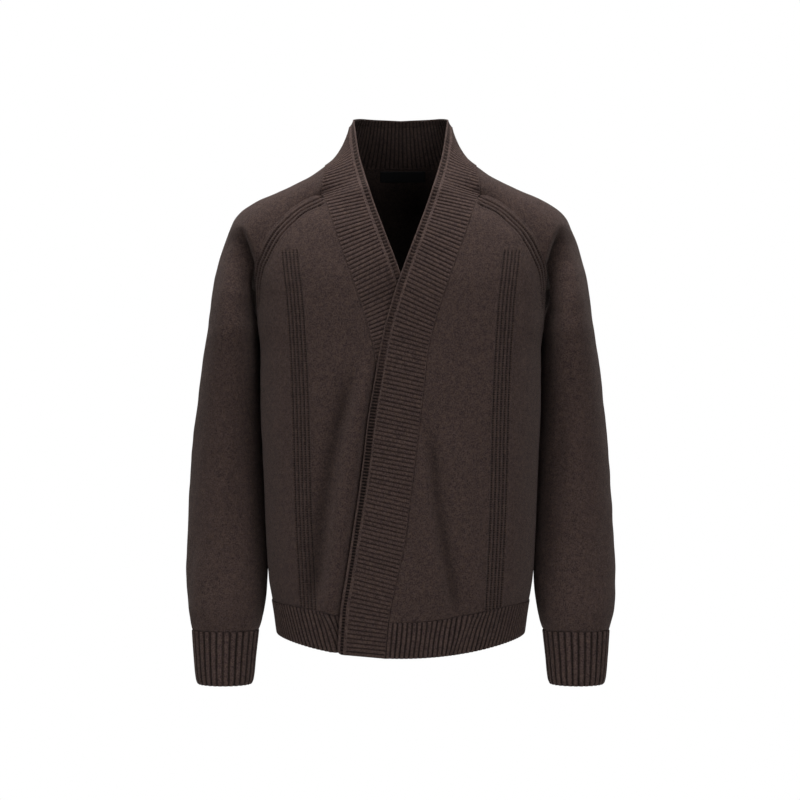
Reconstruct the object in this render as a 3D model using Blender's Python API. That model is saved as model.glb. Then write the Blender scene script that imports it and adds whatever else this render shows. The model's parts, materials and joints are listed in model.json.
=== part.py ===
"""Shawl collar cardigan with raglan sleeves, filled out as worn, in 15 knitted pieces.

Sizes are in millimetres and become metres where a mesh is made. +Z is up, the front faces -Y and +X is
the wearer's left. The origin is the middle of the neck, level with the front ends of the raglan seams.
Each piece is a wall about the middle surface of its cloth: a grid of points, with rows from the bottom
or the neck and columns across. Pieces that are linked share their seam's points and its normals.
"""

import math
from collections import defaultdict, namedtuple

import bmesh
import bpy
import numpy as np

MM = 0.001
SEAM_GAP = 0.36
PLAIN_WALL = 2.4
RIB_WALL = 2.8
BAND_WALL = 3.4
STRIP_WALL = 3.0
LABEL_WALL = 0.6

BAND_RIB_PITCH = 5.8
HEM_RIB_PITCH = 6.4
CUFF_RIBS = 28
RIB_RISE = 0.9
DECOR_RISE = 0.5
DECOR_GROOVE = -0.5
STRIP_WIDTH = 11.0

LEFT, RIGHT = 1, -1

# The torso's middle surface, level by level: half widths and depths of its front and its back.
Level = namedtuple("Level", "z front_width front_depth back_width back_depth squareness")
TORSO = (
    Level(-665, 165, 135, 165, 112, 2.6),
    Level(-627, 171.5, 138, 171.5, 118, 2.6),
    Level(-605, 174.5, 139, 174.5, 120, 2.6),
    Level(-585, 177.5, 140, 177.5, 121, 2.65),
    Level(-555, 182.5, 141, 182.5, 122, 2.7),
    Level(-500, 186, 141, 186, 123, 2.75),
    Level(-400, 190, 140, 190, 125, 2.8),
    Level(-308, 194, 139, 194, 127, 2.8),
    Level(-240, 194, 138, 194, 128, 2.8),
    Level(-206, 198, 137, 198, 128, 2.8),
    Level(-180, 200, 136, 199, 127, 2.75),
    Level(-150, 203, 134, 198, 127, 2.7),
    Level(-120, 204.5, 128, 192.5, 124, 2.65),
    Level(-90, 201, 120, 181, 119, 2.55),
    Level(-60, 182, 110, 166, 113, 2.45),
    Level(-40, 161, 98, 153, 109, 2.4),
    Level(-27, 143, 90, 145, 105, 2.4),
    Level(0, 140, 85, 121, 97, 2.4),
    Level(30, 140, 80, 98, 86, 2.4),
)
BACK_SQUARENESS = 2.4

# The raglan seams, from the underarm to the neck, as seen from the front.
SeamPoint = namedtuple("SeamPoint", "z x")
FRONT_RAGLAN = (
    SeamPoint(-206, 198),
    SeamPoint(-180, 198.8),
    SeamPoint(-150, 199.5),
    SeamPoint(-122, 197),
    SeamPoint(-109, 192),
    SeamPoint(-82, 178.5),
    SeamPoint(-60, 159),
    SeamPoint(-40, 136),
    SeamPoint(-27, 109),
)
BACK_RAGLAN = (
    SeamPoint(-206, 198),
    SeamPoint(-180, 196),
    SeamPoint(-150, 189),
    SeamPoint(-120, 175),
    SeamPoint(-90, 158),
    SeamPoint(-60, 139),
    SeamPoint(-30, 117),
    SeamPoint(0, 95),
    SeamPoint(22, 80),
)
UNDERARM_Z = -206
RAGLAN_ROWS = 9
SIDE_ROWS = 12
HEM_ROWS = 2

# The lines where panels meet the hem rib, and its lower edge: at the side seams, at the front band and
# in the middle of the back.
HEM_TOP = {"side": -585, "front": -606, "back": -595}
HEM_EDGE = {"side": -631, "front": -654, "back": -641}
# How sharply rows bend up to the side seams: at the hem's edge, above the hem rib and at the underarm.
ROW_BENDS = (2.2, 4.5, 1.2)
NECK_Z = {"raglan": 22, "back": 25}
FRONT_TIP_DROP = 6

# The front band's seam to the front and its free edge, from the hem to the neck.
BandRow = namedtuple("BandRow", "seam_x seam_z edge_x edge_z")
BAND = (
    BandRow(-21, -654, -74, -650),
    BandRow(-16, -600, -70, -594),
    BandRow(-6, -552, -62, -543),
    BandRow(5, -500, -54, -491),
    BandRow(12, -447, -46, -439),
    BandRow(19, -392, -39, -387),
    BandRow(25, -342, -33, -335),
    BandRow(31, -289, -24, -282),
    BandRow(37, -238, -15, -230),
    BandRow(48, -196, -2, -180),
    BandRow(63, -150, 14, -132),
    BandRow(82, -97, 33, -81),
    BandRow(98, -50, 48, -39),
    BandRow(104, -33, 54, -20),
)
# The free edge round the neck, by the share of the neck seam from the raglan to the middle of the back,
# and how far the collar hollows between seam and edge.
CollarRow = namedtuple("CollarRow", "share edge_x edge_y edge_z hollow")
COLLAR = (
    CollarRow(0.03, 58.5, -62, -5, 0),
    CollarRow(0.17, 66.5, -31, 28, 2),
    CollarRow(0.36, 70, 1, 58, 4),
    CollarRow(0.53, 71, 35, 80, 4),
    CollarRow(0.70, 54, 65, 83, 3),
    CollarRow(0.85, 29, 75, 84, 2),
    CollarRow(1.00, 0, 78, 83.5, 2),
)

# The sleeve's top line from the neck to the level of the underarm, as seen from the front.
TopPoint = namedtuple("TopPoint", "x z")
SLEEVE_TOP = (
    TopPoint(104.5, 17.5),
    TopPoint(125, 3.5),
    TopPoint(157, -12.5),
    TopPoint(184, -23.5),
    TopPoint(207.5, -35),
    TopPoint(223, -45.5),
    TopPoint(232, -56),
    TopPoint(237, -67),
    TopPoint(244, -84),
    TopPoint(253, -112),
    TopPoint(260, -140),
    TopPoint(264, -168),
    TopPoint(268.5, -206),
)
# Cap sections by the share of the way from neck to underarm.
Cap = namedtuple("Cap", "share middle_y front_depth back_depth")
SLEEVE_CAP = (
    Cap(0.0, 0, 70, 66),
    Cap(0.2, 4, 74, 78),
    Cap(0.6, 10, 77, 78),
    Cap(1.0, 6, 76, 76),
)
# Level sections of the sleeve below the underarm, and of the cuff.
Ring = namedtuple("Ring", "z inner outer middle_y half_depth")
SLEEVE_RINGS = (
    Ring(-206, 198.0, 268.5, 6, 76),
    Ring(-216, 200.0, 270, 9, 76),
    Ring(-238, 197.2, 274.5, 14, 75.5),
    Ring(-268, 196.6, 279.5, 19, 74.5),
    Ring(-303, 196.3, 284, 23, 73),
    Ring(-343, 194.8, 288.5, 26, 71),
    Ring(-383, 193.3, 292, 26, 68),
    Ring(-423, 191.8, 294.5, 24, 65),
    Ring(-463, 190.2, 297, 19, 61.5),
    Ring(-503, 188.7, 298.5, 13, 58),
    Ring(-543, 187.2, 299.5, 4, 55),
    Ring(-573, 188.2, 298, -4, 51.5),
    Ring(-597, 191.2, 295.5, -11, 48),
    Ring(-614, 194.8, 292, -15, 43),
    Ring(-627, 199, 288.5, -18, 38),
)
CUFF_RINGS = (
    Ring(-627, 199, 288.5, -18, 38),
    Ring(-664, 203, 285.5, -22, 36),
    Ring(-694, 206, 282, -26, 34.5),
    Ring(-701, 208.5, 279.5, -27, 32.5),
)
SLEEVE_COLUMNS = 20

# The vertical decor: the middle of its ribbed stripe, and its width with a plain margin.
DecorPoint = namedtuple("DecorPoint", "z x")
DECOR_LINE = (
    DecorPoint(-654, 119),
    DecorPoint(-575, 124.5),
    DecorPoint(-443, 131),
    DecorPoint(-308, 134.5),
    DecorPoint(-119, 146.5),
    DecorPoint(-20, 150),
)
DECOR_WIDTH = 29
DECOR_TOP_Z = -108
RAGLAN_DECOR_WIDTH = 27
RAGLAN_DECOR_END_Z = -150
DECOR_RIBS = 4

# Soft folds of the fronts: each a line of three places with a half width and a height (a trough is
# negative), as seen from the front.
Fold = namedtuple("Fold", "top middle foot half_width height")
FRONT_FOLDS = (
    Fold((-50, -250), (-79, -400), (-100, -590), 14, 5.0),
    Fold((-62, -255), (-98, -395), (-118, -570), 16, -4.5),
    Fold((40, -330), (51, -445), (74, -590), 15, -5.5),
    Fold((62, -330), (80, -460), (98, -590), 22, 3.0),
    Fold((26, -345), (34, -460), (52, -590), 12, 3.0),
)
UNDERLAP_DEPTH = 8.0
UNDERLAP_LEAD = 30.0
UNDERLAP_RAMP = 25.0

# The fold that runs from the top of each sleeve down into the armpit.
ARM_FOLD_LINE = ((222, -62), (211, -92), (200, -130), (198, -170))
ARM_FOLD_DEPTH = 9
ARM_FOLD_SHARP, ARM_FOLD_SOFT = 14, 34

LABEL = {"x": 3, "width": 65, "top": 21.5, "height": 15}

YARN = (0.084, 0.064, 0.059, 1)
RIB_YARN = (0.092, 0.070, 0.064, 1)
TAPE = (0.006, 0.006, 0.007, 1)


def smooth(places, values, at):
    """A monotone cubic curve through the values at rising places."""
    places = np.asarray(places, float)
    values = np.asarray(values, float)
    step = np.diff(places)
    rise = np.diff(values) / step
    slope = np.empty(len(places))
    slope[0], slope[-1] = rise[0], rise[-1]
    for i in range(1, len(places) - 1):
        before, after = rise[i - 1], rise[i]
        if before * after <= 0:
            slope[i] = 0
        else:
            heavy, light = 2 * step[i] + step[i - 1], step[i] + 2 * step[i - 1]
            slope[i] = (heavy + light) / (heavy / before + light / after)
    at = np.clip(at, places[0], places[-1])
    i = np.clip(np.searchsorted(places, at, side="right") - 1, 0, len(step) - 1)
    t = (at - places[i]) / step[i]
    return (
        values[i] * (1 + 2 * t) * (1 - t) ** 2
        + values[i + 1] * t * t * (3 - 2 * t)
        + step[i] * t * (1 - t) * (slope[i] * (1 - t) - slope[i + 1] * t)
    )


def column(rows, name):
    return [getattr(row, name) for row in rows]


def read(rows, name, at, by="z"):
    return smooth(column(rows, by), column(rows, name), at)


def ease(t):
    t = np.clip(t, 0, 1)
    return t * t * (3 - 2 * t)


def unit(vectors):
    length = np.linalg.norm(vectors, axis=-1, keepdims=True)
    return vectors / np.maximum(length, 1e-9)


def lengths_along(points):
    steps = np.linalg.norm(np.diff(points, axis=0), axis=1)
    return np.concatenate([[0], np.cumsum(steps)])


def superellipse(x, z, width, depth, squareness):
    """The depth and the outward direction of a torso half at a place seen from the front."""
    ratio = np.minimum(np.abs(x) / width, 1)
    y = depth * (1 - ratio**squareness) ** (1 / squareness)
    across = np.sign(x) * ratio ** (squareness - 1) / width
    forward = (y / depth) ** (squareness - 1) / depth
    size = np.hypot(across, forward)
    return y, across / size, forward / size


def fold_height(x, z):
    total = 0.0
    for fold in FRONT_FOLDS:
        levels = [fold.foot[1], fold.middle[1], fold.top[1]]
        middle = smooth(levels, [fold.foot[0], fold.middle[0], fold.top[0]], z)
        span = (fold.top[1] - z) / 70
        end = (z - fold.foot[1]) / 45 + 0.55
        near = np.exp(-(((x - middle) / fold.half_width) ** 2))
        total = total + fold.height * near * ease(span) * ease(end)
    return total


def overlap_edge_x(z):
    """The outer edge of the left band's strip, which lies over the right front."""
    levels = column(BAND, "edge_z") + [-4, 28, 58, 80]
    edges = column(BAND, "edge_x") + [58.5, 67.5, 72, 73]
    return smooth(levels, edges, z) - STRIP_WIDTH


def front_point(x, z, side):
    """A point of a front's middle surface; x is counted towards the front's own side."""
    width = read(TORSO, "front_width", z)
    depth = read(TORSO, "front_depth", z)
    y, across, forward = superellipse(x, z, width, depth, read(TORSO, "squareness", z))
    out = fold_height(side * x, z)
    if side == RIGHT:
        under = (side * x - overlap_edge_x(z) + UNDERLAP_LEAD) / UNDERLAP_RAMP
        out = out - UNDERLAP_DEPTH * ease(under)
    return np.stack([side * (x + across * out), -(y + forward * out), z + 0 * x], -1)


def back_point(x, z):
    width = read(TORSO, "back_width", z)
    depth = read(TORSO, "back_depth", z)
    y, _, _ = superellipse(x, z, width, depth, BACK_SQUARENESS)
    return np.stack([x, y, z + 0 * x], -1)


def raglan_levels(seam):
    """Levels that part a raglan seam evenly, from the underarm to the neck."""
    z = np.linspace(seam[0].z, seam[-1].z, 200)
    x = read(seam, "x", z)
    along = lengths_along(np.stack([x, z], -1))
    return np.interp(np.linspace(0, along[-1], RAGLAN_ROWS + 1), along, z)


def edge_levels(raglan):
    """Levels of a panel's rows at its outer edge: hem rib, side seam and raglan."""
    hem = np.linspace(HEM_EDGE["side"], HEM_TOP["side"], HEM_ROWS + 1)
    side = np.linspace(HEM_TOP["side"], UNDERARM_Z, SIDE_ROWS + 1)
    return np.concatenate([hem[:-1], side[:-1], raglan_levels(raglan)])


def edge_x(z, raglan, width_name):
    on_side = read(TORSO, width_name, z)
    return np.where(z < UNDERARM_Z, on_side, read(raglan, "x", z))


def row_bends(rows):
    return np.interp(np.arange(rows), [0, HEM_ROWS, HEM_ROWS + SIDE_ROWS], ROW_BENDS)


def across_row(z_edge, z_middle, x_edge, breaks, counts, width_name, bend):
    """Places of a row from its outer edge through the breaks (x values) to its last one.

    They are evenly spread in the angle round the torso, closer together at the side seam.
    """
    width = read(TORSO, width_name, z_edge)
    stops = np.arcsin(np.clip(np.array([x_edge, *breaks]) / width, -1, 1))
    angles = []
    for n, count in enumerate(counts):
        share = np.arange(count) / count
        if n == 0:
            share = share**1.2
        angles.extend(stops[n] + (stops[n + 1] - stops[n]) * share)
    angles = np.array([*angles, stops[-1]])
    height = np.cos(angles)
    share = (height - height[0]) / max(height.max() - height[0], 1e-9)
    z = z_edge + (z_middle - z_edge) * np.clip(share, 0, 1) ** bend
    x = np.sin(angles) * width
    return x, z


FRONT_COUNTS = (2, 3, 2, 8)
BACK_COUNTS = (2, 7)


def front_grid(side):
    """Rows of a front with its hem rib, from the hem's edge to the tip at the neck."""
    edge_z = edge_levels(FRONT_RAGLAN)
    hem = np.linspace(HEM_EDGE["front"], HEM_TOP["front"], HEM_ROWS + 1)
    tip = FRONT_RAGLAN[-1].z - FRONT_TIP_DROP
    up = (edge_z[HEM_ROWS:] - HEM_TOP["side"]) / (FRONT_RAGLAN[-1].z - HEM_TOP["side"])
    seam_z = np.concatenate([hem[:-1], HEM_TOP["front"] + up * (tip - HEM_TOP["front"])])
    rows = []
    for z_edge, z_seam, bend in zip(edge_z, seam_z, row_bends(len(edge_z))):
        x_edge = float(edge_x(z_edge, FRONT_RAGLAN, "front_width"))
        x_seam = float(smooth(column(BAND, "seam_z"), column(BAND, "seam_x"), z_seam))
        span = x_edge - x_seam
        start = x_edge - min(RAGLAN_DECOR_WIDTH * (0.35 if z_edge < UNDERARM_Z else 0.8), 0.36 * span)
        middle = float(read(DECOR_LINE, "x", z_edge))
        outer = min(middle + DECOR_WIDTH / 2, start - 0.12 * span)
        inner = min(middle - DECOR_WIDTH / 2, outer - 0.10 * span)
        breaks = (start, outer, inner, x_seam)
        x, z = across_row(z_edge, z_seam, x_edge, breaks, FRONT_COUNTS, "front_width", bend)
        x[0], x[-1] = x_edge, x_seam
        z[-1] = z_seam
        rows.append(front_point(x, z, side))
    share = np.linspace(0, 1, len(rows[-1]))[:, None]
    rows[-1] = rows[-1][0] * (1 - share) + rows[-1][-1] * share
    return np.array(rows)


def back_grid():
    """Rows of the back with its hem rib, from the wearer's right to the left."""
    edge_z = edge_levels(BACK_RAGLAN)
    hem = np.linspace(HEM_EDGE["back"], HEM_TOP["back"], HEM_ROWS + 1)
    up = (edge_z[HEM_ROWS:] - HEM_TOP["side"]) / (NECK_Z["raglan"] - HEM_TOP["side"])
    middle_z = np.concatenate([hem[:-1], HEM_TOP["back"] + up * (NECK_Z["back"] - HEM_TOP["back"])])
    rows = []
    for z_edge, z_middle, bend in zip(edge_z, middle_z, row_bends(len(edge_z))):
        x_edge = float(edge_x(z_edge, BACK_RAGLAN, "back_width"))
        breaks = (0.86 * x_edge, 0.0)
        x, z = across_row(z_edge, z_middle, x_edge, breaks, BACK_COUNTS, "back_width", bend)
        x[0], x[-1] = x_edge, 0
        half = back_point(x, z)
        rows.append(np.concatenate([half * (-1, 1, 1), half[-2::-1]]))
    return np.array(rows)


def arm_fold(x, y, z, middle_y):
    """How far the front of a sleeve sinks beside the fold into the armpit."""
    line_x = [place[0] for place in ARM_FOLD_LINE][::-1]
    line_z = [place[1] for place in ARM_FOLD_LINE][::-1]
    beyond = x - smooth(line_z, line_x, z)
    profile = np.where(
        beyond > 0,
        np.exp(-((beyond / ARM_FOLD_SOFT) ** 2)),
        np.exp(-((beyond / ARM_FOLD_SHARP) ** 2)),
    )
    start = ease((ARM_FOLD_LINE[0][1] - z) / 55)
    end = ease((z - UNDERARM_Z + 15) / 40)
    facing = ease((middle_y - y) / 30)
    return ARM_FOLD_DEPTH * profile * start * end * facing


def cap_row(front, top, back, cap):
    """A row of the raglan cap: quarter ellipses from the front seam over the top to the back seam."""
    half = SLEEVE_COLUMNS // 2
    row = []
    for seam, depth, forward in ((front, cap.front_depth, -1), (back, cap.back_depth, 1)):
        inward = np.array([seam[0] - top[0], 0, seam[2] - top[2]])
        reach = np.linalg.norm(inward)
        cosine = np.clip((seam[1] - cap.middle_y) * forward / depth, -0.97, 0.97)
        start = -math.acos(cosine)
        angles = np.linspace(start, math.pi / 2, half + 1)
        drop = (1 - np.sin(angles)) / (1 - math.sin(start))
        sway = cap.middle_y + forward * depth * np.cos(angles)
        sway += (seam[1] - sway[0]) * (1 - np.linspace(0, 1, half + 1)) ** 2
        points = np.array([top[0], 0, top[2]]) + drop[:, None] * inward
        points[:, 1] = sway
        row.append(points)
    return np.concatenate([row[0], row[1][-2::-1]])


def ring_row(ring, seam_y):
    """A level section of a sleeve, all round from the underarm seam by the front."""
    half = SLEEVE_COLUMNS // 2
    wide = (ring.outer - ring.inner) / 2
    middle_x = (ring.outer + ring.inner) / 2
    start = -math.acos(np.clip((ring.middle_y - seam_y) / ring.half_depth, -1, 1))
    front = np.linspace(start, math.pi / 2, half + 1)
    back = np.linspace(math.pi / 2, 2 * math.pi + start, half + 1)[1:]
    angles = np.concatenate([front, back])
    return np.stack(
        [
            middle_x + wide * np.sin(angles),
            ring.middle_y - ring.half_depth * np.cos(angles),
            ring.z + 0 * angles,
        ],
        -1,
    )


def sleeve_grid(front_seam, back_seam):
    """Rows of the left sleeve from the neck to the cuff, from the underarm seam round by the front."""
    top = np.array(SLEEVE_TOP, float)
    along = lengths_along(top)
    shares = np.linspace(0, 1, RAGLAN_ROWS + 1)
    caps = np.array(SLEEVE_CAP, float)
    rows = []
    for n, share in enumerate(shares):
        at = share * along[-1]
        peak = (smooth(along, top[:, 0], at), 0, smooth(along, top[:, 1], at))
        cap = Cap(share, *(float(smooth(caps[:, 0], caps[:, k], share)) for k in (1, 2, 3)))
        row = cap_row(front_seam[n], peak, back_seam[n], cap)
        sink = arm_fold(row[:, 0], row[:, 1], row[:, 2], cap.middle_y)
        fade = np.minimum(np.arange(len(row)) / 2, 1)
        row[:, 1] += sink * fade
        rows.append(row)
    for n, ring in enumerate(SLEEVE_RINGS[1:]):
        share = ease((n + 1) / 5)
        row = ring_row(ring, ring.middle_y * share)
        sink = arm_fold(row[:, 0], row[:, 1], row[:, 2], ring.middle_y)
        sink[[0, -1]] = 0
        row[:, 1] += sink
        rows.append(row)
    return np.array(rows)


def grid_normals(points, outward, closed_from):
    """Unit normals of a grid, on the outer side of the cloth."""
    down = np.gradient(points, axis=0)
    across = np.gradient(points, axis=1)
    if closed_from is not None:
        wrapped = (points[closed_from:, 1] - points[closed_from:, -2]) / 2
        across[closed_from:, 0] = wrapped
        across[closed_from:, -1] = wrapped
    return outward * unit(np.cross(across, down))


def seam_shift(line, normals, inward):
    """Unit steps from a border into its own piece, square to the seam and to the cloth's normal."""
    tangents = unit(np.diff(line, axis=0))
    middles = (normals[1:] + normals[:-1]) / 2
    steps = unit(np.cross(middles, tangents))
    towards = (inward[1:] + inward[:-1]) / 2
    steps *= np.where((steps * towards).sum(1, keepdims=True) < 0, -1, 1)
    first, last = steps[:1], steps[-1:]
    before = np.concatenate([first, steps])
    after = np.concatenate([steps, last])
    return (before + after) / np.maximum(1 + (before * after).sum(1, keepdims=True), 0.8)


class Piece:
    """A cloth piece: the grid of its middle surface, and how its wall is made."""

    def __init__(self, name, points, outward, wall, colour, rows=None, columns=None, relief=None,
                 closed_from=None):
        self.name = name
        self.points = points
        self.wall = wall
        self.colour = colour
        self.rows = np.arange(points.shape[0]) if rows is None else rows
        self.columns = np.arange(points.shape[1]) if columns is None else columns
        self.relief = relief
        self.closed_from = closed_from
        self.normals = grid_normals(points, outward, closed_from)

    def border(self):
        rows, columns = self.points.shape[:2]
        for r in range(rows):
            for c in range(columns):
                if r in (0, rows - 1) or c in (0, columns - 1):
                    yield r, c

    def draw_back(self):
        """Move the borders into the piece by half the seam gap."""
        p, n = self.points, self.normals
        shift = np.zeros_like(p)
        last = p.shape[0] - 1
        shift[0] += seam_shift(p[0], n[0], p[1] - p[0])
        shift[last] += seam_shift(p[last], n[last], p[last - 1] - p[last])
        if self.closed_from != 0:
            end = last if self.closed_from is None else self.closed_from
            open_rows = slice(0, end + 1)
            first = seam_shift(p[open_rows, 0], n[open_rows, 0], p[open_rows, 1] - p[open_rows, 0])
            final = seam_shift(p[open_rows, -1], n[open_rows, -1], p[open_rows, -2] - p[open_rows, -1])
            if self.closed_from is not None:
                first[-1] = final[-1] = (first[-1] + final[-1]) / 2
            shift[open_rows, 0] += first
            shift[open_rows, -1] += final
        if self.closed_from is not None:
            shift[last, 0] = shift[last, -1] = (shift[last, 0] + shift[last, -1]) / 2
        if self.closed_from == 0:
            shift[0, 0] = shift[0, -1] = (shift[0, 0] + shift[0, -1]) / 2
        self.points = p + shift * SEAM_GAP / 2


def spread(values, at, axis):
    """Values of a grid at places between its rows or columns."""
    low = np.clip(np.floor(at).astype(int), 0, values.shape[axis] - 2)
    part = at - low
    shape = [1, 1, 1]
    shape[axis] = len(at)
    part = part.reshape(shape)
    return np.take(values, low, axis) * (1 - part) + np.take(values, low + 1, axis) * part


def zipped(outer, outer_at, inner, inner_at):
    """Triangles between two chains of vertices that run side by side."""
    faces, i, k = [], 0, 0
    while i < len(outer) - 1 or k < len(inner) - 1:
        step_outer = k == len(inner) - 1 or (
            i < len(outer) - 1 and outer_at[i + 1] <= inner_at[k + 1] + 1e-6
        )
        if step_outer:
            faces.append((outer[i], outer[i + 1], inner[k]))
            i += 1
        else:
            faces.append((outer[i], inner[k + 1], inner[k]))
            k += 1
    return faces


def wall_mesh(piece):
    """Vertices and faces of a piece's closed wall."""
    rows, columns = np.asarray(piece.rows, float), np.asarray(piece.columns, float)
    middle = spread(spread(piece.points, rows, 0), columns, 1)
    normals = spread(spread(piece.normals, rows, 0), columns, 1)
    rise = np.full(middle.shape[:2], piece.wall / 2)
    if piece.relief is not None:
        rise = rise + piece.relief(rows, columns, middle)
    outer = middle + normals * rise[..., None]
    inner = piece.points - piece.normals * piece.wall / 2
    vertices = np.concatenate([outer.reshape(-1, 3), inner.reshape(-1, 3)])
    inner_rows, inner_columns = np.arange(inner.shape[0]), np.arange(inner.shape[1])

    def indices(row_at, column_at, start):
        table = start + np.arange(len(row_at) * len(column_at)).reshape(len(row_at), len(column_at))
        if piece.closed_from is not None:
            joined = np.asarray(row_at) >= piece.closed_from
            table[joined, -1] = table[joined, 0]
        return table

    out = indices(rows, columns, 0)
    back = indices(inner_rows, inner_columns, len(rows) * len(columns))
    faces = []
    for table, flip in ((out, False), (back, True)):
        for r in range(table.shape[0] - 1):
            for c in range(table.shape[1] - 1):
                quad = (table[r, c], table[r, c + 1], table[r + 1, c + 1], table[r + 1, c])
                faces.append(quad[::-1] if flip else quad)
    for end in (0, -1):
        faces += zipped(out[end], columns, back[end], inner_columns)
    if piece.closed_from != 0:
        top = inner_rows[-1] if piece.closed_from is None else piece.closed_from
        kept, kept_inner = rows <= top, inner_rows <= top
        for end in (0, -1):
            faces += zipped(out[kept, end], rows[kept], back[kept_inner, end], inner_rows[kept_inner])
    return vertices, faces


def add_mesh(name, vertices, faces, colour):
    mesh = bpy.data.meshes.new(name)
    mesh.from_pydata([tuple(float(c) * MM for c in v) for v in vertices], [], [tuple(map(int, f)) for f in faces])
    work = bmesh.new()
    work.from_mesh(mesh)
    loose = [v for v in work.verts if not v.link_faces]
    bmesh.ops.delete(work, geom=loose, context="VERTS")
    bmesh.ops.recalc_face_normals(work, faces=work.faces)
    if work.calc_volume(signed=True) < 0:
        bmesh.ops.reverse_faces(work, faces=work.faces)
    work.to_mesh(mesh)
    work.free()
    mesh.shade_smooth()
    mesh.set_sharp_from_angle(angle=math.radians(28))
    part = bpy.data.objects.new(name, mesh)
    bpy.context.scene.collection.objects.link(part)
    mesh.materials.append(knit_material(name, colour))
    return part


def knit_material(name, colour):
    material = bpy.data.materials.new(f"{name}_knit")
    material.use_nodes = True
    shader = material.node_tree.nodes["Principled BSDF"]
    shader.inputs["Base Color"].default_value = colour
    shader.inputs["Roughness"].default_value = 0.9
    shader.inputs["Metallic"].default_value = 0.0
    return material


def rib_places(line, pitch):
    """Places, in steps of the line's points, of crests and valleys at an even pitch along it."""
    along = lengths_along(line)
    ribs = max(round(along[-1] / pitch), 1)
    marks = np.linspace(0, along[-1], 2 * ribs + 1)
    return np.interp(marks, along, np.arange(len(line)))


def rib_relief_columns(rows, columns, _):
    return np.broadcast_to(RIB_RISE * (np.arange(len(columns)) % 2), (len(rows), len(columns)))


def rib_relief_rows(rows, columns, _):
    return np.broadcast_to(RIB_RISE * (np.arange(len(rows)) % 2)[:, None], (len(rows), len(columns)))


def front_columns():
    """Outer columns of a front: fine ones for the raglan decor and the vertical decor."""
    raglan, side, decor, plain = FRONT_COUNTS
    fine = 2 * DECOR_RIBS + 1
    places = list(np.linspace(0, raglan, fine + 1)[:-1])
    places += [raglan + n for n in range(side)]
    places += list(raglan + side + np.linspace(0, decor, fine + 2)[:-1])
    places += [raglan + side + decor + n for n in range(plain + 1)]
    return np.array(places)


def front_relief(rows, columns, middle):
    """Ribs and grooves of both decors, which fade where they end."""
    relief = np.zeros(middle.shape[:2])
    fine = 2 * DECOR_RIBS + 1
    start = fine + FRONT_COUNTS[1]
    z = middle[:, :, 2]
    on_raglan = ease((z[:, 0] - RAGLAN_DECOR_END_Z) / 20)
    on_front = ease((DECOR_TOP_Z - z[:, start]) / 12)
    for n in range(1, fine):
        relief[:, n] += on_raglan * (DECOR_RISE if n % 2 else DECOR_GROOVE)
    for n in range(1, fine + 1):
        relief[:, start + n] += on_front * (DECOR_GROOVE if n % 2 else DECOR_RISE)
    return relief


def band_grids(seam, chest_count, side):
    """The band's rows (along it) from seam to free edge, and the strip's beyond it.

    The seam's points run from the hem to the middle of the back. The first ones, up to chest_count,
    lie on the front.
    """
    along = lengths_along(seam)
    neck_start = along[chest_count]
    chest_z = seam[: chest_count + 1, 2]
    places, edges, rims, hollows = [], [], [], []
    for row in BAND:
        run = np.array([row.edge_x - row.seam_x, row.edge_z - row.seam_z], float)
        rim_x, rim_z = np.array([row.edge_x, row.edge_z]) + unit(run) * STRIP_WIDTH
        places.append(float(np.interp(row.seam_z, chest_z, along[: chest_count + 1])))
        edges.append(front_point(np.float64(row.edge_x), np.float64(row.edge_z), side))
        rims.append(front_point(rim_x, rim_z, side))
        hollows.append(0)
    for row in COLLAR:
        place = neck_start + row.share * (along[-1] - neck_start)
        on_seam = np.array([np.interp(place, along, seam[:, k]) for k in range(3)])
        edge = np.array([side * row.edge_x, row.edge_y, row.edge_z], float)
        places.append(place)
        edges.append(edge)
        rims.append(edge + unit(edge - on_seam) * STRIP_WIDTH)
        hollows.append(row.hollow)
    edges, rims = np.array(edges), np.array(rims)
    edge = np.stack([smooth(places, edges[:, k], along) for k in range(3)], -1)
    rim = np.stack([smooth(places, rims[:, k], along) for k in range(3)], -1)
    middle = (seam + edge) / 2
    inward = unit((np.array([0, 10, 0]) - middle) * (1, 1, 0))
    middle = middle + inward * smooth(places, hollows, along)[:, None]
    band = np.stack([seam, middle, edge], 1)
    strip = np.stack([edge, rim], 1)
    return band, strip


def add_label():
    """The neck label, on the inner face of the back below the collar's seam."""
    x = LABEL["x"] + np.linspace(-0.5, 0.5, 7) * LABEL["width"]
    z = LABEL["top"] - np.array([0, 0.5, 1]) * LABEL["height"]
    points = np.array([back_point(x, np.full_like(x, level)) for level in z])
    away = PLAIN_WALL / 2 + SEAM_GAP + LABEL_WALL / 2
    normals = grid_normals(points, 1, None)
    normals *= np.sign(normals[..., 1:2])
    label = Piece("neck_label", points - normals * away, 1, LABEL_WALL, TAPE)
    label.normals = normals
    return label


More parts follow.
